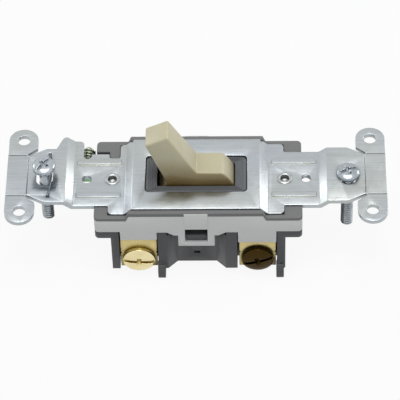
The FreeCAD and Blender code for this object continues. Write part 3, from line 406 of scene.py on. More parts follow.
@dataclass(frozen=True)
class MouldedPlastic(Finish):
    """Moulded plastic with a fine grain, pale rubbed edges that carry a painted highlight, and dirt with
    painted shade in its corners.
    """

    edge: Code = "a0a0a0"
    # Dirt in the grain; in the corners this colour is painted shade as well as dirt.
    dirt_and_shade: Code = "6a6a68"
    roughness: float = 0.5
    grain: float = 3500.0
    relief: float = 0.18
    # Shares of the pale edges, rubbed and painted highlight, and of the painted shade with dirt in the
    # corners.
    rub_and_highlight: float = 0.5
    corner_dirt_and_shade: float = 0.25
    reach: float = 1.8 * MM
    specular: float = 0.4

    def ground(self, coat: Coat) -> Any:
        """The plastic's own colour, which may change over the piece."""
        return self.colour

    def draw(self, coat: Coat) -> None:
        """Draw moulded plastic."""
        shared = coat.effects
        clouds = coat.effect(shared.clouds, Scale=90.0, Softness=0.2)["Mask"]
        grain = coat.effect(shared.grain, Scale=self.grain)
        edges = coat.effect(shared.edges, Radius=0.2 * MM, Strength=3.0)
        corners = coat.effect(shared.crevices, Distance=self.reach)["Mask"]
        # The corner layer paints shade along with dirt; the edge layer paints a highlight along with rubbing.
        colour = coat.layered(self.ground(coat), [
            (clouds, 0.1, self.edge), (grain["Mask"], 0.1, self.dirt_and_shade), (corners, self.corner_dirt_and_shade, self.dirt_and_shade),
            (edges["Mask"], self.rub_and_highlight, self.edge)])
        coat.shader.inputs["Specular IOR Level"].default_value = self.specular
        coat.close(colour, self.roughness, [(grain["Mask"], -0.05, 0.06), (clouds, -0.04, 0.04)],
                   grain["Height"], edges["Normal"], (self.relief, 0.04 * MM))


@dataclass(frozen=True)
class CoverPlastic(MouldedPlastic):
    """Cover plastic with a painted shade around the toggle, inside the strap's window."""

    # The painted shade's colour, and the half sizes and soft border of the window that it fills.
    well: Code = "72767a"
    well_half: tuple[float, float] = (17.6 * MM, 7.4 * MM)
    well_blur: float = 0.3 * MM

    def ground(self, coat: Coat) -> Any:
        """The cover's colour, blended to a painted shade inside the window."""
        board = coat.board
        inside = []
        for name, half in zip("XY", self.well_half):
            away = board.maths("ABSOLUTE", board.axis(coat.place, name))
            inside.append(board.spread(away, 1.0, 0.0, half - self.well_blur, half + self.well_blur))
        return board.blend(board.maths("MULTIPLY", *inside), self.colour, self.well)


@dataclass(frozen=True)
class IvoryPlastic(MouldedPlastic):
    """Glossier plastic that lets a little light in, with a brown painted shade and painted reflection low on
    its long sides.
    """

    # Painted shade and reflection, from full at the lower height to none at the upper.
    low_side_shade: Code = "9d8345"
    low_side_shade_from: float = 1.0 * MM
    low_side_shade_to: float = 12.0 * MM
    depth: float = 0.12
    scatter: tuple[float, float, float] = (1.4 * MM, 1.0 * MM, 0.6 * MM)

    def ground(self, coat: Coat) -> Any:
        """The ivory, blended to a brown painted shade and painted reflection low on the faces that look along
        Y.
        """
        board = coat.board
        normal = board.add("ShaderNodeNewGeometry").outputs["Normal"]
        across = board.maths("ABSOLUTE", board.axis(normal, "Y"))
        low = board.spread(board.axis(coat.place, "Z"), 1.0, 0.0, self.low_side_shade_from, self.low_side_shade_to)
        return board.blend(board.maths("MULTIPLY", low, across), self.colour, self.low_side_shade)

    def draw(self, coat: Coat) -> None:
        """Draw ivory plastic."""
        super().draw(coat)
        coat.shader.inputs["Subsurface Weight"].default_value = self.depth
        coat.shader.inputs["Subsurface Radius"].default_value = self.scatter
        coat.shader.inputs["Subsurface Scale"].default_value = 1.0


@dataclass(frozen=True)
class TurnedMetal(Finish):
    """Turned or stamped brass or dyed steel with a tarnished tone, and painted shade in its corners."""

    # Tarnished patches, and in the corners painted shade mixed with patina.
    patina_and_shade: Code = "7c6a24"
    bright: Code = "f4ecd0"
    roughness: float = 0.26
    corner_patina_and_shade: float = 0.8
    reach: float = 2.2 * MM
    stretch: tuple[float, float, float] = (900.0, 900.0, 900.0)

    def draw(self, coat: Coat) -> None:
        """Draw turned metal."""
        shared = coat.effects
        clouds = coat.effect(shared.clouds, Scale=260.0, Softness=0.2)["Mask"]
        lines = coat.effect(shared.rolling, Stretch=self.stretch)["Mask"]
        edges = coat.effect(shared.edges, Radius=0.16 * MM, Strength=3.2)
        corners = coat.effect(shared.crevices, Distance=self.reach)["Mask"]
        # The corner layer paints shade; the edge layer adds a painted highlight to rubbed edges.
        colour = coat.layered(self.colour, [
            (clouds, 0.22, self.patina_and_shade), (corners, self.corner_patina_and_shade, self.patina_and_shade),
            (edges["Mask"], 0.55, self.bright)])
        coat.shader.inputs["Metallic"].default_value = 1.0
        coat.close(colour, self.roughness, [(clouds, -0.06, 0.08), (lines, -0.03, 0.05)], lines,
                   edges["Normal"], (0.1, 0.03 * MM))


FINE_LINES = (1500.0, 1500.0, 1500.0)
WIRE_LINES = (1200.0, 1200.0, 1200.0)

# Plated finishes below paint shade in their corners at the shading share, half unless given.
ZINC = PlatedSteel("zinc_plate", "zinc_steel", "a3a9af")
# Dark patches here are painted reflections for a chrome look, and the corner layer is painted shade.
SCREW_ZINC = PlatedSteel("screw_zinc", "screw_steel", "b4bbc1", tint="98a1a8", bright="f6f9fb",
                         shade="515b62", roughness=0.2, stretch=FINE_LINES, shading=0.65, reflection_patches=0.35)
# Its near-black corner colour at full share paints the shadow on the screw's tip near the strap.
GROUND_ZINC = PlatedSteel("ground_screw_zinc", "green_steel", "b9c1a9", tint="8aa184", bright="eef0dc",
                          shade="2a2b20", roughness=0.24, stretch=FINE_LINES, shading=1.0, reflection_patches=0.3,
                          reach=2.4 * MM)
SPRING = PlatedSteel("spring_wire", "spring_steel", "5d656d", tint="474e55", bright="98a2ac",
                     stretch=WIRE_LINES)
# The high corner share paints shade, brown-grey, in the rivets' bores.
EYELET = PlatedSteel("eyelet_steel", "spring_steel", "a9aeb0", tint="9a958c", shade="5c564b",
                     roughness=0.28, stretch=WIRE_LINES, shading=0.9)
# The cream colours paint the highlight along the ribs.
RIB_ZINC = PlatedSteel("rib_zinc", "zinc_steel", "c9c5a2", tint="dbd196", bright="fbf1c0")
# The high corner share paints the toggle's shadow round its slot, along with dirt.
COVER_GREY = CoverPlastic("cover_thermoset", "grey_thermoset_top", "777777", edge="8c8c8c", dirt_and_shade="4c4d4e",
                          roughness=0.62, corner_dirt_and_shade=0.6, reach=3.0 * MM)
# These plastics paint a little shade with dirt in their corners.
FRAME_GREY = MouldedPlastic("frame_plastic", "light_grey_plastic", "dcdddc", edge="e8e8e8", dirt_and_shade="b0b0b0")
BASE_GREY = MouldedPlastic("base_plastic", "dark_grey_plastic", "48494b", edge="6f6f6e", dirt_and_shade="2c2c2e",
                           roughness=0.42)
# The long corner reach paints brown shade low on the lever; the pale edges are a painted highlight.
IVORY = IvoryPlastic("ivory_moulding", "ivory_plastic", "c9c3a4", edge="e4dfc9", dirt_and_shade="5a431a",
                     roughness=0.3, relief=0.08, rub_and_highlight=0.7, corner_dirt_and_shade=0.75, specular=0.5, reach=11.0 * MM)
NYLON = MouldedPlastic("plunger_nylon", "white_plastic", "dedcd4", edge="f0eee8", dirt_and_shade="aaa69a",
                       roughness=0.4)
# The long corner reach at full share paints the skirts' shadow on the clamp plates.
BRASS = TurnedMetal("bright_brass", "brass", "dccb90", patina_and_shade="3d3512", corner_patina_and_shade=1.0, reach=7.0 * MM)
# The full corner share paints shade in the screw's recess.
BRASS_SCREW = TurnedMetal("brass_screw", "brass", "ece0b2", patina_and_shade="a28b34", bright="fdf9e6",
                          roughness=0.2, corner_patina_and_shade=1.0, reach=2.0 * MM)
# These metals paint shade in their corners with their patina colour.
BRONZE = TurnedMetal("blackened_brass", "dark_bronze", "3f3013", patina_and_shade="1a1305", bright="7c6638",
                     corner_patina_and_shade=1.0, reach=2.0 * MM)
GREEN = TurnedMetal("green_dyed_steel", "green_steel", "7fae84", patina_and_shade="3c5a40", bright="dbe8dc",
                    roughness=0.32)
COPPER = TurnedMetal("copper_strip", "copper_alloy", "d6a076", patina_and_shade="7c4a2c")
SILVER = TurnedMetal("contact_silver", "silver", "e2e2dc", patina_and_shade="8c8a80", bright="f6f6f4")


# ------------------------------------------------------------------ meshes


def show(mesh: bpy.types.Mesh, name: str) -> Thing:
    """Put a mesh in the scene as an object at the origin."""
    thing = bpy.data.objects.new(name, mesh)
    bpy.context.scene.collection.objects.link(thing)
    return thing


def shown(work: Work, name: str, outward: bool = False) -> Thing:
    """Turn a finished bmesh into an object, with its faces turned outward on request."""
    if outward:
        bmesh.ops.recalc_face_normals(work, faces=work.faces)
    mesh = bpy.data.meshes.new(name)
    work.to_mesh(mesh)
    work.free()
    return show(mesh, name)


def settle(thing: Thing) -> Thing:
    """Turn an object's live modifiers into a plain mesh with smooth faces and sharp corners."""
    bpy.context.view_layer.update()
    depsgraph = bpy.context.evaluated_depsgraph_get()
    mesh = bpy.data.meshes.new_from_object(thing.evaluated_get(depsgraph), depsgraph=depsgraph)
    thing.modifiers.clear()
    thing.data = mesh
    mesh.name = thing.name
    mesh.shade_smooth()
    mesh.set_sharp_from_angle(angle=SHARP)
    return thing


def discard(*things: Thing) -> None:
    """Remove helper objects from the file."""
    for thing in things:
        bpy.data.objects.remove(thing)


@dataclass(frozen=True)
class Softened:
    """How a piece gets its rounded corners."""

    radius: float = 0.12 * MM
    segments: int = 2
    corner_degrees: float = 32.0
    merge: float = 0.002 * MM
    flat_degrees: float = 0.4
    clamp: bool = True

    def round(self, piece: Thing) -> Thing:
        """Round a piece's corners once its other modifiers have run."""
        bevel = piece.modifiers.new("corners", "BEVEL")
        bevel.width = self.radius
        bevel.segments = self.segments
        bevel.limit_method = "ANGLE"
        bevel.angle_limit = math.radians(self.corner_degrees)
        bevel.use_clamp_overlap = self.clamp
        return settle(piece)

    def copy(self, node: str, name: str, prepare: Callable[[Work], None] | None = None) -> Thing:
        """Copy a node's mesh, join its loose triangles and round its corners.

        Args:
            node: The CAD node.
            name: The new piece's name.
            prepare: A last change to the joined mesh before its corners are rounded.

        Returns:
            The piece.
        """
        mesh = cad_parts[node].data.copy()
        work = bmesh.new()
        work.from_mesh(mesh)
        bmesh.ops.remove_doubles(work, verts=work.verts, dist=self.merge)
        bmesh.ops.dissolve_limit(work, angle_limit=math.radians(self.flat_degrees), verts=work.verts,
                                 edges=work.edges)
        if prepare is not None:
            prepare(work)
        work.to_mesh(mesh)
        work.free()
        mesh.materials.clear()
        return self.round(show(mesh, name))


def carved(thing: Thing, cutters: Sequence[Thing], corners: Softened) -> Thing:
    """Cut the cutters out of a piece, remove them and round the piece's corners."""
    for cutter in cutters:
        cut = thing.modifiers.new("recess", "BOOLEAN")
        cut.operation = "DIFFERENCE"
        cut.solver = "EXACT"
        cut.object = cutter
    corners.round(thing)
    discard(*cutters)
    return thing


def bridge(work: Work, rings: Sequence[Ring], around: bool = False) -> None:
    """Fill the bands between closed rings of corners; a ring of one corner is a point.

    Args:
        work: The mesh that gets the faces.
        rings: The rings in order, alike but for the points.
        around: Whether the last ring joins the first.
    """
    sides = max(len(ring) for ring in rings)
    following = [*rings[1:], *(rings[:1] if around else [])]
    for low, high in zip(rings, following):
        for step in range(sides):
            after = (step + 1) % sides
            corners = [low[step % len(low)], low[after % len(low)], high[after % len(high)],
                       high[step % len(high)]]
            unique = list(dict.fromkeys(corners))
            if len(unique) > 2:
                work.faces.new(unique)


def lathe(profile: Profile, sides: int, name: str) -> Thing:
    """Turn a profile about Z.

    Args:
        profile: Radius and height pairs, from one end on the axis to the other or back to the start.
        sides: How many steps go round.
        name: The object's name.

    Returns:
        The turned object.
    """
    work = bmesh.new()
    turns = [2 * math.pi * step / sides for step in range(sides)]
    rings: list[Ring] = []
    for radius, height in profile:
        angles = turns if radius > 0.0 else turns[:1]
        rings.append([work.verts.new((radius * math.cos(a), radius * math.sin(a), height)) for a in angles])
    bridge(work, rings)
    bmesh.ops.remove_doubles(work, verts=work.verts, dist=1e-8)
    return shown(work, name, outward=True)


def wedge(length: float, width: float, top: float, bottom: float, taper: float, turn: float) -> Thing:
    """A cutter whose floor is smaller than its mouth, turned about Z.

    Args:
        length: The mouth's length.
        width: The mouth's width.
        top: The mouth's height.
        bottom: The floor's height.
        taper: The floor's size over the mouth's.
        turn: The turn about Z in radians.

    Returns:
        The cutter.
    """
    work = bmesh.new()
    bmesh.ops.create_cube(work, size=1.0)
    for vert in work.verts:
        scale, height = (1.0, top) if vert.co.z > 0 else (taper, bottom)
        vert.co = Vector((vert.co.x * length * scale, vert.co.y * width * scale, height))
    bmesh.ops.rotate(work, verts=work.verts, matrix=Matrix.Rotation(turn, 3, "Z"))
    return shown(work, "cutter")


def joined(parts: Sequence[Thing], name: str) -> Thing:
    """Join objects into a new one with a name, and remove them."""
    work = bmesh.new()
    for part in parts:
        work.from_mesh(part.data)
    discard(*parts)
    return shown(work, name)


class Recipe:
    """A geometry node tree with named inputs that makes a plain mesh."""

    def __init__(self, name: str, inputs: Mapping[str, tuple[str, Any]],
                 draw: Callable[[Board, Sockets], Node]) -> None:
        """Build the tree.

        Args:
            name: The tree's name.
            inputs: Each input's socket type and default.
            draw: Draws the nodes and returns the one that makes the geometry.
        """
        self.tree = bpy.data.node_groups.new(name, "GeometryNodeTree")
        self.tree.interface.new_socket(name="Geometry", in_out="OUTPUT", socket_type="NodeSocketGeometry")
        add_inputs(self.tree, {**inputs, "Material": ("NodeSocketMaterial", None)})
        board = Board(self.tree)
        given = board.add("NodeGroupInput").outputs
        whole = board.add("GeometryNodeRealizeInstances", {"Geometry": draw(board, given)})
        painted = board.add("GeometryNodeSetMaterial", {"Geometry": whole, "Material": given["Material"]})
        board.add("NodeGroupOutput", {"Geometry": painted})

    def make(self, name: str, values: Mapping[str, Any]) -> Thing:
        """Run the tree and keep its result as a plain mesh.

        Args:
            name: The new object's name.
            values: Inputs by name.

        Returns:
            The object, without a modifier.
        """
        carrier = show(bpy.data.meshes.new(name), name)
        modifier = carrier.modifiers.new(self.tree.name, "NODES")
        modifier.node_group = self.tree
        for item in self.tree.interface.items_tree:
            if item.in_out == "INPUT" and item.name in values:
                modifier[item.identifier] = values[item.name]
        return settle(carrier)


def draw_thread(board: Board, given: Sockets) -> Node:
    """A helical ridge about Z."""
    middle = board.maths("SUBTRACT", given["Radius"], given["Depth"])
    turns = board.maths("DIVIDE", given["Length"], given["Pitch"])
    spiral = board.add("GeometryNodeCurveSpiral", {
        "Resolution": 22, "Rotations": turns, "Start Radius": middle, "End Radius": middle,
        "Height": given["Length"]})
    upright = board.add("GeometryNodeSetCurveNormal", {"Curve": spiral}, mode="Z_UP")
    ridge = board.add("GeometryNodeCurvePrimitiveCircle", {"Resolution": 4, "Radius": given["Depth"]})
    swept = board.add("GeometryNodeCurveToMesh", {"Curve": upright, "Profile Curve": ridge,
                                                  "Fill Caps": True})
    rise = board.add("ShaderNodeCombineXYZ", {"Z": given["Start"]})
    return board.add("GeometryNodeTransform", {"Geometry": swept, "Translation": rise})


def draw_row(board: Board, given: Sockets) -> Node:
    """Copies of one piece in a grid over a plane."""
    line = board.add("GeometryNodeMeshLine", {"Count": given["Columns"], "Start Location": given["Start"],
                                              "Offset": given["Step"]})
    across = board.add("GeometryNodeMeshLine", {"Count": given["Rows"], "Offset": given["Row Step"]})
    grid = board.add("GeometryNodeInstanceOnPoints", {"Points": line, "Instance": across})
    points = board.add("GeometryNodeRealizeInstances", {"Geometry": grid})
    piece = board.add("GeometryNodeObjectInfo", {"Object": given["Piece"]}).outputs["Geometry"]
    return board.add("GeometryNodeInstanceOnPoints", {"Points": points, "Instance": piece})


class Workshop:
    """What every sub-assembly shares: the shader effects and the geometry trees."""

    def __init__(self) -> None:
        """Build each effect and each tree once."""
        self.effects = Effects.build()
        self.thread = Recipe("thread", {"Radius": (FLOAT, 1.7 * MM), "Depth": (FLOAT, 0.3 * MM),
                                        "Pitch": (FLOAT, 0.8 * MM), "Length": (FLOAT, 10.0 * MM),
                                        "Start": (FLOAT, 0.0)}, draw_thread)
        self.grid = Recipe("row_of_pieces", {
            "Piece": ("NodeSocketObject", None), "Columns": ("NodeSocketInt", 2),
            "Rows": ("NodeSocketInt", 1), "Start": (VECTOR, None), "Step": (VECTOR, None),
            "Row Step": (VECTOR, None)}, draw_row)

    def dress(self, piece: Thing, finish: Finish, body: str, replaced: Iterable[str] = ()) -> None:
        """Give a piece its finish and its body.

        Args:
            piece: The finished piece.
            finish: Its finish.
            body: The body it moves with.
            replaced: The CAD nodes it stands for.
        """
        piece.data.materials.clear()
        piece.data.materials.append(finish.material(self.effects))
        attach(piece, body)
        names = list(replaced)
        if names:
            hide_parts(*names)
        LOG.info("%s: %d faces, %s", piece.name, len(piece.data.polygons), finish.name)

    def finish_node(self, node: str, finish: Finish) -> None:
        """Give a CAD node the material of a finish."""
        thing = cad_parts[node]
        material = finish.material(self.effects)
        if not thing.material_slots:
            thing.data.materials.append(material)
        for held in thing.material_slots:
            held.material = material
        LOG.info("%s: kept, %s", node, finish.name)

    def row(self, one: Thing, name: str, finish: Finish, start: Sequence[float], step: float,
            row_step: float = 0.0) -> Thing:
        """Lay copies of one piece in a grid, and remove the piece.

        Args:
            one: The piece.
            name: The grid's name.
            finish: Its finish.
            start: The first copy's place.
            step: How far along X the second column is.
            row_step: How far along Y the second row is, if there is one.

        Returns:
            The grid.
        """
        grid = self.grid.make(name, {
            "Piece": one, "Columns": 2, "Rows": 2 if row_step else 1, "Start": start,
            "Step": (step, 0.0, 0.0), "Row Step": (0.0, row_step, 0.0),
            "Material": finish.material(self.effects)})
        discard(one)
        return grid


def span(node: str) -> tuple[Vector, Vector, Vector]:
    """The lowest corner, the highest corner and the middle of a node's box."""
    low, high = (Vector(corner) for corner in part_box(node))
    return low, high, (low + high) / 2


# ------------------------------------------------------------------ screws


class Facing(Enum):
    """The way a terminal screw's head points: along -Y or along +Y."""

    NEAR = 1.0
    FAR = -1.0

    def turn(self) -> Matrix:
        """The turn from +Z to the head's direction."""
        return Matrix.Rotation(self.value * math.pi / 2, 4, "X")


@dataclass(frozen=True)
class ScrewShape:
    """A machine screw with a slotted and crossed head; its seat is at height zero."""

    shank_radius: float
    length: float
    head_radius: float = 0.0
    head_height: float = 0.0
    rim: float = 0.0
    head_edge: float = 0.06 * MM
    head_sides: int = 72
    dome_steps: int = 9
    neck: float = 0.0
    neck_radius: float = 1.5 * MM
    pitch: float = 0.794 * MM
    ridge: float = 0.24 * MM
    slot_width: float = 1.1 * MM
    slot_depth: float = 0.75 * MM
    cross_length: float = 3.4 * MM
    cross_width: float = 1.25 * MM
    cross_depth: float = 1.0 * MM
    cross_taper: float = 0.55
    turned: float = 0.0

    def head_profile(self) -> Profile:
        """The domed head's outline from its top to its seat."""
        crown = self.head_height - self.rim
        turns = [math.pi / 2 * step / self.dome_steps for step in range(1, self.dome_steps)]
        dome = [(self.head_radius * math.sin(a), self.rim + crown * math.cos(a) ** 0.75) for a in turns]
        return [(0.0, self.head_height), *dome, (self.head_radius, self.rim),
                (self.head_radius, self.head_edge), (self.head_radius - self.head_edge, 0.0), (0.0, 0.0)]

    def head(self) -> Thing:
        """Build the head with its recess cut in."""
        head = lathe(self.head_profile(), self.head_sides, "head")
        top = self.head_height + 0.3 * MM
        slot_floor = self.head_height - self.slot_depth
        cutters = [wedge(2.3 * self.head_radius, self.slot_width, top, slot_floor, 1.0, self.turned)]
        for turn in (self.turned + math.pi / 2, self.turned):
            cutters.append(wedge(self.cross_length, self.cross_width, top,
                                 self.head_height - self.cross_depth, self.cross_taper, turn))
        return carved(head, cutters, Softened(radius=0.07 * MM, corner_degrees=38.0))

    def shank(self) -> Thing:
        """The core under the thread, with a chamfered point."""
        core = self.shank_radius - 2 * self.ridge + 0.05 * MM
        point = 0.8 * MM
        lap = 0.02 * MM
        outline = [(0.0, lap), (core, lap), (core, point - self.length), (core * 0.62, -self.length),
                   (0.0, -self.length)]
        if self.neck > 0.0:
            outline[1:2] = [(self.neck_radius, lap), (self.neck_radius, -self.neck),
                            (core, -self.neck - 0.3 * MM)]
        return settle(lathe(outline, 40, "core"))

    def rod(self, shop: Workshop, name: str, finish: Finish, place: Matrix,
            extra: Sequence[Thing] = ()) -> Thing:
        """Build the threaded rod in place, joined to any other parts.

        Args:
            shop: The shared tools.
            name: The piece's name.
            finish: The screw's finish.
            place: Where its seat goes, and how it is turned.
            extra: Other parts of the screw.

        Returns:
            The rod.
        """
        thread = shop.thread.make("thread", {
            "Radius": self.shank_radius, "Depth": self.ridge, "Pitch": self.pitch,
            "Length": self.length - self.neck - 1.5 * self.pitch, "Start": 0.7 * self.pitch - self.length,
            "Material": finish.material(shop.effects)})
        return placed([*extra, self.shank(), thread], name, place)

    def build(self, shop: Workshop, name: str, finish: Finish, place: Matrix) -> Thing:
        """Build the whole screw in place, with its head and its rod."""
        return self.rod(shop, name, finish, place, [self.head()])


def placed(parts: Sequence[Thing], name: str, place: Matrix) -> Thing:
    """Join parts into a new object with a name, and move its mesh to its place."""
    whole = joined(parts, name)
    whole.data.transform(place)
    whole.data.set_sharp_from_angle(angle=SHARP)
    return whole


# ------------------------------------------------------------------ sub-assemblies


@dataclass
class MountingStrap:
    """The bent steel strap with its ribs, tapped threads and rivets."""

    shop: Workshop
    body: str = "switch_body"
    soften: Softened = Softened(radius=0.11 * MM)
    middle_top: float = -0.5 * MM
    rib_length: float = 12.4 * MM
    rib_width: float = 1.75 * MM
    rib_rise: float = 0.26 * MM
    rib_steps: int = 12
    rib_middle_x: float = 26.8 * MM
    rib_y: float = 5.95 * MM
    rivet_bore: float = 1.2 * MM
    rivet_shank: float = 1.6 * MM
    rivet_lip: float = 2.1 * MM
    rivet_foot: float = 2.3 * MM
    rivet_depth: float = 1.5 * MM
    plate_hole_x: float = 30.15 * MM
    plate_hole_radius: float = 1.4 * MM

    def rib(self) -> Thing:
        """One pressed rib with rounded ends, lying along X at the origin."""
        levels = [(1.0, -0.2 * MM), (1.0, 0.02 * MM), (0.9, self.rib_rise * 0.62),
                  (0.74, self.rib_rise * 0.93), (0.6, self.rib_rise)]
        work = bmesh.new()
        half = self.rib_width / 2
        reach = self.rib_length / 2 - half
        rings: list[Ring] = []
        for share, height in levels:
            ring = []
            for end in (1, -1):
                for step in range(self.rib_steps + 1):
                    angle = math.pi * step / self.rib_steps - end * math.pi / 2
                    x = end * reach + half * share * math.cos(angle)
                    ring.append(work.verts.new((x, half * share * math.sin(angle), height)))
            rings.append(ring)
        bridge(work, rings)
        work.faces.new(rings[-1])
        work.faces.new(list(reversed(rings[0])))
        return shown(work, "rib", outward=True)

    def ribs(self) -> Thing:
        """The four ribs in two pairs."""
        start = (-self.rib_middle_x, -self.rib_y, self.middle_top)
        return self.shop.row(self.rib(), "strap_ribs", RIB_ZINC, start, 2 * self.rib_middle_x, 2 * self.rib_y)

    def hole_threads(self) -> Thing:
        """Thread crests inside the two tapped holes."""
        ridge = 0.12 * MM
        crest = self.shop.thread.make("crest", {
            "Radius": self.plate_hole_radius + ridge * 0.9, "Depth": ridge, "Pitch": 0.5 * MM,
            "Length": 1.1 * MM, "Start": -1.9 * MM, "Material": ZINC.material(self.shop.effects)})
        start = (-self.plate_hole_x, 0.0, 0.0)
        return self.shop.row(crest, "tapped_threads", ZINC, start, 2 * self.plate_hole_x)

    def eyelet(self) -> Thing:
        """One hollow rivet with a rolled lip, standing on the strap's middle level."""
        low, high, _ = span("rivets")
        foot, top, seat = low.z, high.z, self.middle_top
        steps = 8
        centre = (self.rivet_bore + self.rivet_lip) / 2
        half = (self.rivet_lip - self.rivet_bore) / 2
        floor = seat - self.rivet_depth
        outline = [(0.0, floor - 0.4 * MM), (self.rivet_bore, floor)]
        for step in range(steps, -1, -1):
            angle = math.pi * step / steps
            outline.append((centre + half * math.cos(angle), seat + (top - seat) * math.sin(angle) * 0.98))
        outline += [(self.rivet_shank, seat), (self.rivet_shank, foot + 0.8 * MM),
                    (self.rivet_foot, foot + 0.75 * MM), (self.rivet_foot, foot + 0.2 * MM),
                    (self.rivet_foot - 0.15 * MM, foot), (0.0, foot)]
        return lathe(outline, 48, "eyelet")

    def rivets(self) -> Thing:
        """Both hollow rivets."""
        low, high, _ = span("rivets")
        left, right = low.x + self.rivet_foot, high.x - self.rivet_foot
        return self.shop.row(self.eyelet(), "hollow_rivets", EYELET, (left, 0.0, 0.0), right - left)

    def build(self) -> None:
        """Build and dress the strap's pieces."""
        self.shop.dress(self.soften.copy("strap", "strap_sheet"), ZINC, self.body, ["strap"])
        self.shop.dress(self.ribs(), RIB_ZINC, self.body)
        self.shop.dress(self.hole_threads(), ZINC, self.body)
        self.shop.dress(self.rivets(), EYELET, self.body, ["rivets"])


@dataclass(frozen=True)
class WellRidges:
    """The fine ridges moulded round the toggle's slot, one rectangle inside the other."""

    outer: tuple[float, float] = (13.25 * MM, 5.98 * MM)
    step: tuple[float, float] = (0.5 * MM, 0.34 * MM)
    width: tuple[float, float] = (0.26 * MM, 0.18 * MM)
    crest: float = 0.3
    count: int = 5
    rise: float = 0.2 * MM
    sunk: float = 0.06 * MM

    def build(self, name: str) -> Thing:
        """Build the ridges on the cover's highest face as one piece with a name."""
        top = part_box("cover")[1][2]
        foot, peak = top - self.sunk, top + self.rise
        section = ((0.0, foot), (0.5 - self.crest / 2, peak), (0.5 + self.crest / 2, peak), (1.0, foot))
        work = bmesh.new()
        for turn in range(self.count):
            rings: list[Ring] = []
            for inset, height in section:
                half_x, half_y = (out - turn * step - inset * wide
                                  for out, step, wide in zip(self.outer, self.step, self.width))
                rings.append([work.verts.new((half_x * x, half_y * y, height))
                              for x, y in ((-1, -1), (1, -1), (1, 1), (-1, 1))])
            bridge(work, rings, around=True)
        return shown(work, name, outward=True)


@dataclass
class MouldedBody:
    """The grey cover, the pale frame band and the dark base."""

    shop: Workshop
    body: str = "switch_body"
    mouldings: tuple[tuple[str, str, float, Finish], ...] = (
        ("cover", "cover_moulding", 0.16 * MM, COVER_GREY),
        ("frame_band", "frame_moulding", 0.12 * MM, FRAME_GREY),
        ("base", "base_moulding", 0.16 * MM, BASE_GREY),
    )

    def build(self) -> None:
        """Build and dress the three mouldings and the ridges on the cover."""
        for node, name, radius, finish in self.mouldings:
            corners = Softened(radius=radius, clamp=False)
            self.shop.dress(corners.copy(node, name), finish, self.body, [node])
            if node == "cover":
                self.shop.dress(WellRidges().build("cover_well_ridges"), finish, self.body)


@dataclass
class ToggleLever:
    """The ivory lever with the plunger and spring inside it."""

    shop: Workshop
    body: str = "toggle"
    corners: Softened = Softened(radius=0.5 * MM, segments=4, corner_degrees=40.0, clamp=False)
    lean: float = math.radians(27.0)
    tip_round: float = 0.52 * MM

    def square_tip(self, work: Work) -> None:
        """Give the lever's end square edges, so that every edge is rounded alike."""
        along = Vector((-math.sin(self.lean), 0.0, math.cos(self.lean)))
        end = max(vert.co.dot(along) for vert in work.verts)
        everything = [*work.verts, *work.edges, *work.faces]
        cut = bmesh.ops.bisect_plane(work, geom=everything, dist=1e-7, plane_no=along,
                                     plane_co=along * (end - self.tip_round), clear_outer=True)
        rim = [edge for edge in cut["geom_cut"] if isinstance(edge, bmesh.types.BMEdge)]
        cap = bmesh.ops.edgenet_fill(work, edges=rim)["faces"]
        raised = bmesh.ops.extrude_face_region(work, geom=cap)["geom"]
        ends = [vert for vert in raised if isinstance(vert, bmesh.types.BMVert)]
        bmesh.ops.translate(work, verts=ends, vec=along * self.tip_round)
        bmesh.ops.delete(work, geom=[face for face in cap if face.is_valid], context="FACES_ONLY")
        bmesh.ops.dissolve_limit(work, angle_limit=math.radians(3.0), verts=work.verts, edges=work.edges)
        bmesh.ops.recalc_face_normals(work, faces=work.faces)

    def build(self) -> None:
        """Build and dress the lever and what rides in it."""
        lever = self.corners.copy("toggle", "toggle_lever", self.square_tip)
        self.shop.dress(lever, IVORY, self.body, ["toggle"])
        self.shop.finish_node("plunger", NYLON)
        self.shop.finish_node("toggle_spring", SPRING)


@dataclass
class SwitchWorks:
    """The rocker and its contacts inside the base."""

    shop: Workshop

    def build(self) -> None:
        """Dress the hidden works."""
        for node, finish in (("rocker", COPPER), ("moving_contacts", SILVER), ("fixed_contacts", SILVER)):
            self.shop.finish_node(node, finish)


@dataclass(frozen=True)
class Terminal:
    """One terminal's name, its sheet's node, its screw's direction and finish, and its recess's turn."""

    name: str
    sheet: str
    facing: Facing
    screw: Finish
    turned: float


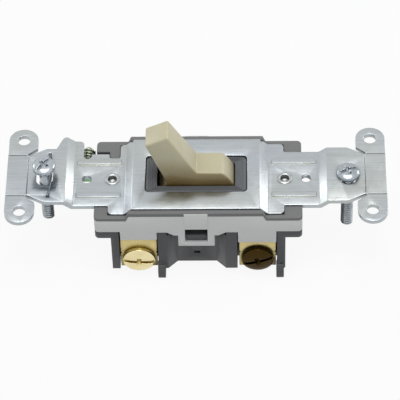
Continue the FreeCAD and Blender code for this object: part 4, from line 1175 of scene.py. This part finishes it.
@dataclass
class TerminalSet:
    """Three brass terminals with clamp plates and binding screws."""

    shop: Workshop
    corners: Softened = Softened(radius=0.1 * MM, clamp=False)
    head_height: float = 1.9 * MM
    shank_radius: float = 2.0 * MM
    terminals: tuple[Terminal, ...] = (
        Terminal("left", "traveller_terminal_left", Facing.NEAR, BRASS_SCREW, -0.06),
        Terminal("common", "common_terminal", Facing.NEAR, BRONZE, 0.3),
        Terminal("far", "traveller_terminal_far", Facing.FAR, BRASS_SCREW, -0.5),
    )

    def screw(self, terminal: Terminal) -> Thing:
        """Build one binding screw where its node stands."""
        low, high, middle = span(f"terminal_screw_{terminal.name}")
        shape = ScrewShape(head_radius=(high.x - low.x) / 2, head_height=self.head_height, rim=0.95 * MM,
                           shank_radius=self.shank_radius, length=high.y - low.y - self.head_height,
                           slot_width=1.15 * MM, slot_depth=0.95 * MM, cross_length=3.3 * MM,
                           cross_width=1.35 * MM, cross_depth=1.3 * MM, turned=terminal.turned)
        near = terminal.facing is Facing.NEAR
        seat_y = low.y + self.head_height if near else high.y - self.head_height
        place = Matrix.Translation((middle.x, seat_y, middle.z)) @ terminal.facing.turn()
        return shape.build(self.shop, f"binding_screw_{terminal.name}", terminal.screw, place)

    def build(self) -> None:
        """Build and dress the terminals."""
        for terminal in self.terminals:
            name = terminal.name
            self.shop.finish_node(terminal.sheet, BRASS)
            plate = self.corners.copy(f"clamp_plate_{name}", f"wire_clamp_{name}")
            self.shop.dress(plate, BRASS, f"clamp_{name}", [f"clamp_plate_{name}"])
            node = f"terminal_screw_{name}"
            self.shop.dress(self.screw(terminal), terminal.screw, node, [node])


@dataclass
class GroundTerminal:
    """The hexagonal ground screw and the wire that holds the left mounting screw."""

    shop: Workshop
    node: str = "ground_screw"
    head_height: float = 2.4 * MM
    edge: float = 0.25 * MM
    shank_radius: float = 2.0 * MM
    pitch: float = 1.058 * MM
    slot_width: float = 1.1 * MM
    slot_depth: float = 1.0 * MM

    def head(self, radius: float) -> Thing:
        """The six-sided head with a slot, its seat at height zero."""
        outline = [(0.0, self.head_height), (radius - 2 * self.edge, self.head_height),
                   (radius, self.head_height - self.edge), (radius, 0.0), (0.0, 0.0)]
        head = lathe(outline, 6, "hex_head")
        slot_floor = self.head_height - self.slot_depth
        cutter = wedge(2.4 * radius, self.slot_width, self.head_height + self.edge, slot_floor, 1.0, 0.0)
        return carved(head, [cutter], Softened(corner_degrees=30.0))

    def build(self) -> None:
        """Build and dress the ground parts."""
        low, high, middle = span(self.node)
        place = Matrix.Translation((middle.x, low.y + self.head_height, middle.z)) @ Facing.NEAR.turn()
        head = placed([self.head((high.x - low.x) / 2)], "ground_hex_head", place)
        self.shop.dress(head, GREEN, self.node, [self.node])
        shape = ScrewShape(shank_radius=self.shank_radius, length=high.y - low.y - self.head_height,
                           pitch=self.pitch)
        rod = shape.rod(self.shop, "ground_screw_thread", GROUND_ZINC, place)
        self.shop.dress(rod, GROUND_ZINC, self.node, [self.node])
        self.shop.finish_node("ground_clip", SPRING)


@dataclass
class MountingScrews:
    """The two box screws through the strap's ends."""

    shop: Workshop
    head_height: float = 1.7 * MM
    shank_radius: float = 1.7 * MM
    neck_end: float = 0.6 * MM

    def build(self) -> None:
        """Build and dress both screws."""
        for side, turned in (("left", 0.9), ("right", 0.35)):
            node = f"mounting_screw_{side}"
            low, high, middle = span(node)
            seat = high.z - self.head_height
            shape = ScrewShape(head_radius=(high.x - low.x) / 2, head_height=self.head_height, rim=0.45 * MM,
                               shank_radius=self.shank_radius, length=seat - low.z, neck=seat + self.neck_end,
                               turned=turned, cross_length=3.6 * MM, slot_width=0.95 * MM,
                               slot_depth=0.7 * MM)
            place = Matrix.Translation((middle.x, middle.y, seat))
            screw = shape.build(self.shop, f"box_screw_{side}", SCREW_ZINC, place)
            self.shop.dress(screw, SCREW_ZINC, node, [node])


# ------------------------------------------------------------------ studio


@dataclass
class Studio:
    """The camera, the lamps, the floor and the background."""

    target: Vector = field(default_factory=lambda: Vector((0.0, 0.0, 1.3 * MM)))
    elevation: float = math.radians(49.0)
    azimuth: float = math.radians(2.147)
    roll: float = math.radians(1.921)
    distance: float = 693.7 * MM
    lens: float = 227.5
    shift: tuple[float, float] = (0.0096, -0.064)
    shadow_share: float = 0.08
    floor_half: float = 3.0
    lamps: tuple[tuple[str, tuple[float, float, float], float, float], ...] = (
        ("over", (0.0, -0.12, 1.3), 0.7, 9.5),
        ("left", (-1.0, 0.6, 0.42), 0.45, 1.5),
        ("right", (1.0, 0.6, 0.42), 0.45, 2.5),
    )

    def place_camera(self) -> None:
        """Make the camera and set it as the scene's."""
        back = Vector((math.sin(self.azimuth) * math.cos(self.elevation),
                       -math.cos(self.azimuth) * math.cos(self.elevation), math.sin(self.elevation)))
        right = Vector((math.cos(self.azimuth), math.sin(self.azimuth), 0.0))
        up = back.cross(right)
        across = math.cos(self.roll) * right - math.sin(self.roll) * up
        upward = math.sin(self.roll) * right + math.cos(self.roll) * up
        turn = Matrix((across, upward, back)).transposed().to_4x4()
        data = bpy.data.cameras.new("camera")
        data.sensor_width = 36.0
        data.lens = self.lens
        data.clip_start = 0.01
        data.clip_end = 20.0
        data.shift_x, data.shift_y = self.shift
        camera = bpy.data.objects.new("camera", data)
        camera.matrix_world = Matrix.Translation(self.target + back * self.distance) @ turn
        bpy.context.scene.collection.objects.link(camera)
        bpy.context.scene.camera = camera

    def lamp(self, name: str, place: Sequence[float], size: float, power: float) -> None:
        """Add a soft square lamp that faces the switch, by its name, place, side and power in watts."""
        data = bpy.data.lights.new(name, "AREA")
        data.shape = "SQUARE"
        data.size = size
        data.energy = power
        thing = bpy.data.objects.new(name, data)
        thing.location = place
        thing.rotation_euler = (-Vector(place)).to_track_quat("-Z", "Y").to_euler()
        bpy.context.scene.collection.objects.link(thing)

    def seen_as_white(self, board: Board) -> Socket:
        """One for rays that the eye, a mirror or glass sends, else zero."""
        path = board.add("ShaderNodeLightPath").outputs
        mirrored = board.maths("MAXIMUM", path["Is Glossy Ray"], path["Is Transmission Ray"])
        return board.maths("MAXIMUM", path["Is Camera Ray"], mirrored)

    def paint_world(self) -> None:
        """A plain white background that lights evenly."""
        world = bpy.data.worlds.new("studio")
        bpy.context.scene.world = world
        board = fresh_board(world)
        lit = board.add("ShaderNodeBackground", {"Color": (0.96, 0.98, 1.0, 1.0), "Strength": 0.38})
        seen = board.add("ShaderNodeBackground", {"Color": WHITE, "Strength": 1.0})
        mixed = board.add("ShaderNodeMixShader", {0: self.seen_as_white(board), 1: lit, 2: seen})
        board.add("ShaderNodeOutputWorld", {"Surface": mixed})

    def lay_floor(self) -> None:
        """A pale floor just under the switch that keeps its shadow."""
        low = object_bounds()[0][2]
        half = self.floor_half
        mesh = bpy.data.meshes.new("studio_floor")
        corners = [(-half, -half, low), (half, -half, low), (half, half, low), (-half, half, low)]
        mesh.from_pydata(corners, [], [(0, 1, 2, 3)])
        floor = show(mesh, "studio_floor")
        material = bpy.data.materials.new("floor_paper")
        board = fresh_board(material)
        paper = board.add("ShaderNodeBsdfDiffuse", {"Color": (0.72, 0.72, 0.72, 1.0)})
        glow = board.add("ShaderNodeEmission", {"Color": WHITE, "Strength": 1.0})
        share = board.maths("MULTIPLY", self.seen_as_white(board), 1.0 - self.shadow_share)
        mixed = board.add("ShaderNodeMixShader", {0: share, 1: paper, 2: glow})
        board.add("ShaderNodeOutputMaterial", {"Surface": mixed})
        mesh.materials.append(material)
        floor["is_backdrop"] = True

    def build(self) -> None:
        """Set the whole studio."""
        bpy.context.scene.view_settings.view_transform = "Standard"
        self.place_camera()
        self.paint_world()
        self.lay_floor()
        for settings in self.lamps:
            self.lamp(*settings)


# ------------------------------------------------------------------ making


def main(frame_box: Any) -> None:
    """Build the studio and every sub-assembly in order; the box, the frame's after loading, is not used."""
    shop = Workshop()
    Studio().build()
    for assembly in (MountingStrap(shop), MouldedBody(shop), ToggleLever(shop), SwitchWorks(shop),
                     TerminalSet(shop), GroundTerminal(shop), MountingScrews(shop)):
        LOG.info("building %s", type(assembly).__name__)
        assembly.build()


if __name__ == "__main__":
    main(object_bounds())
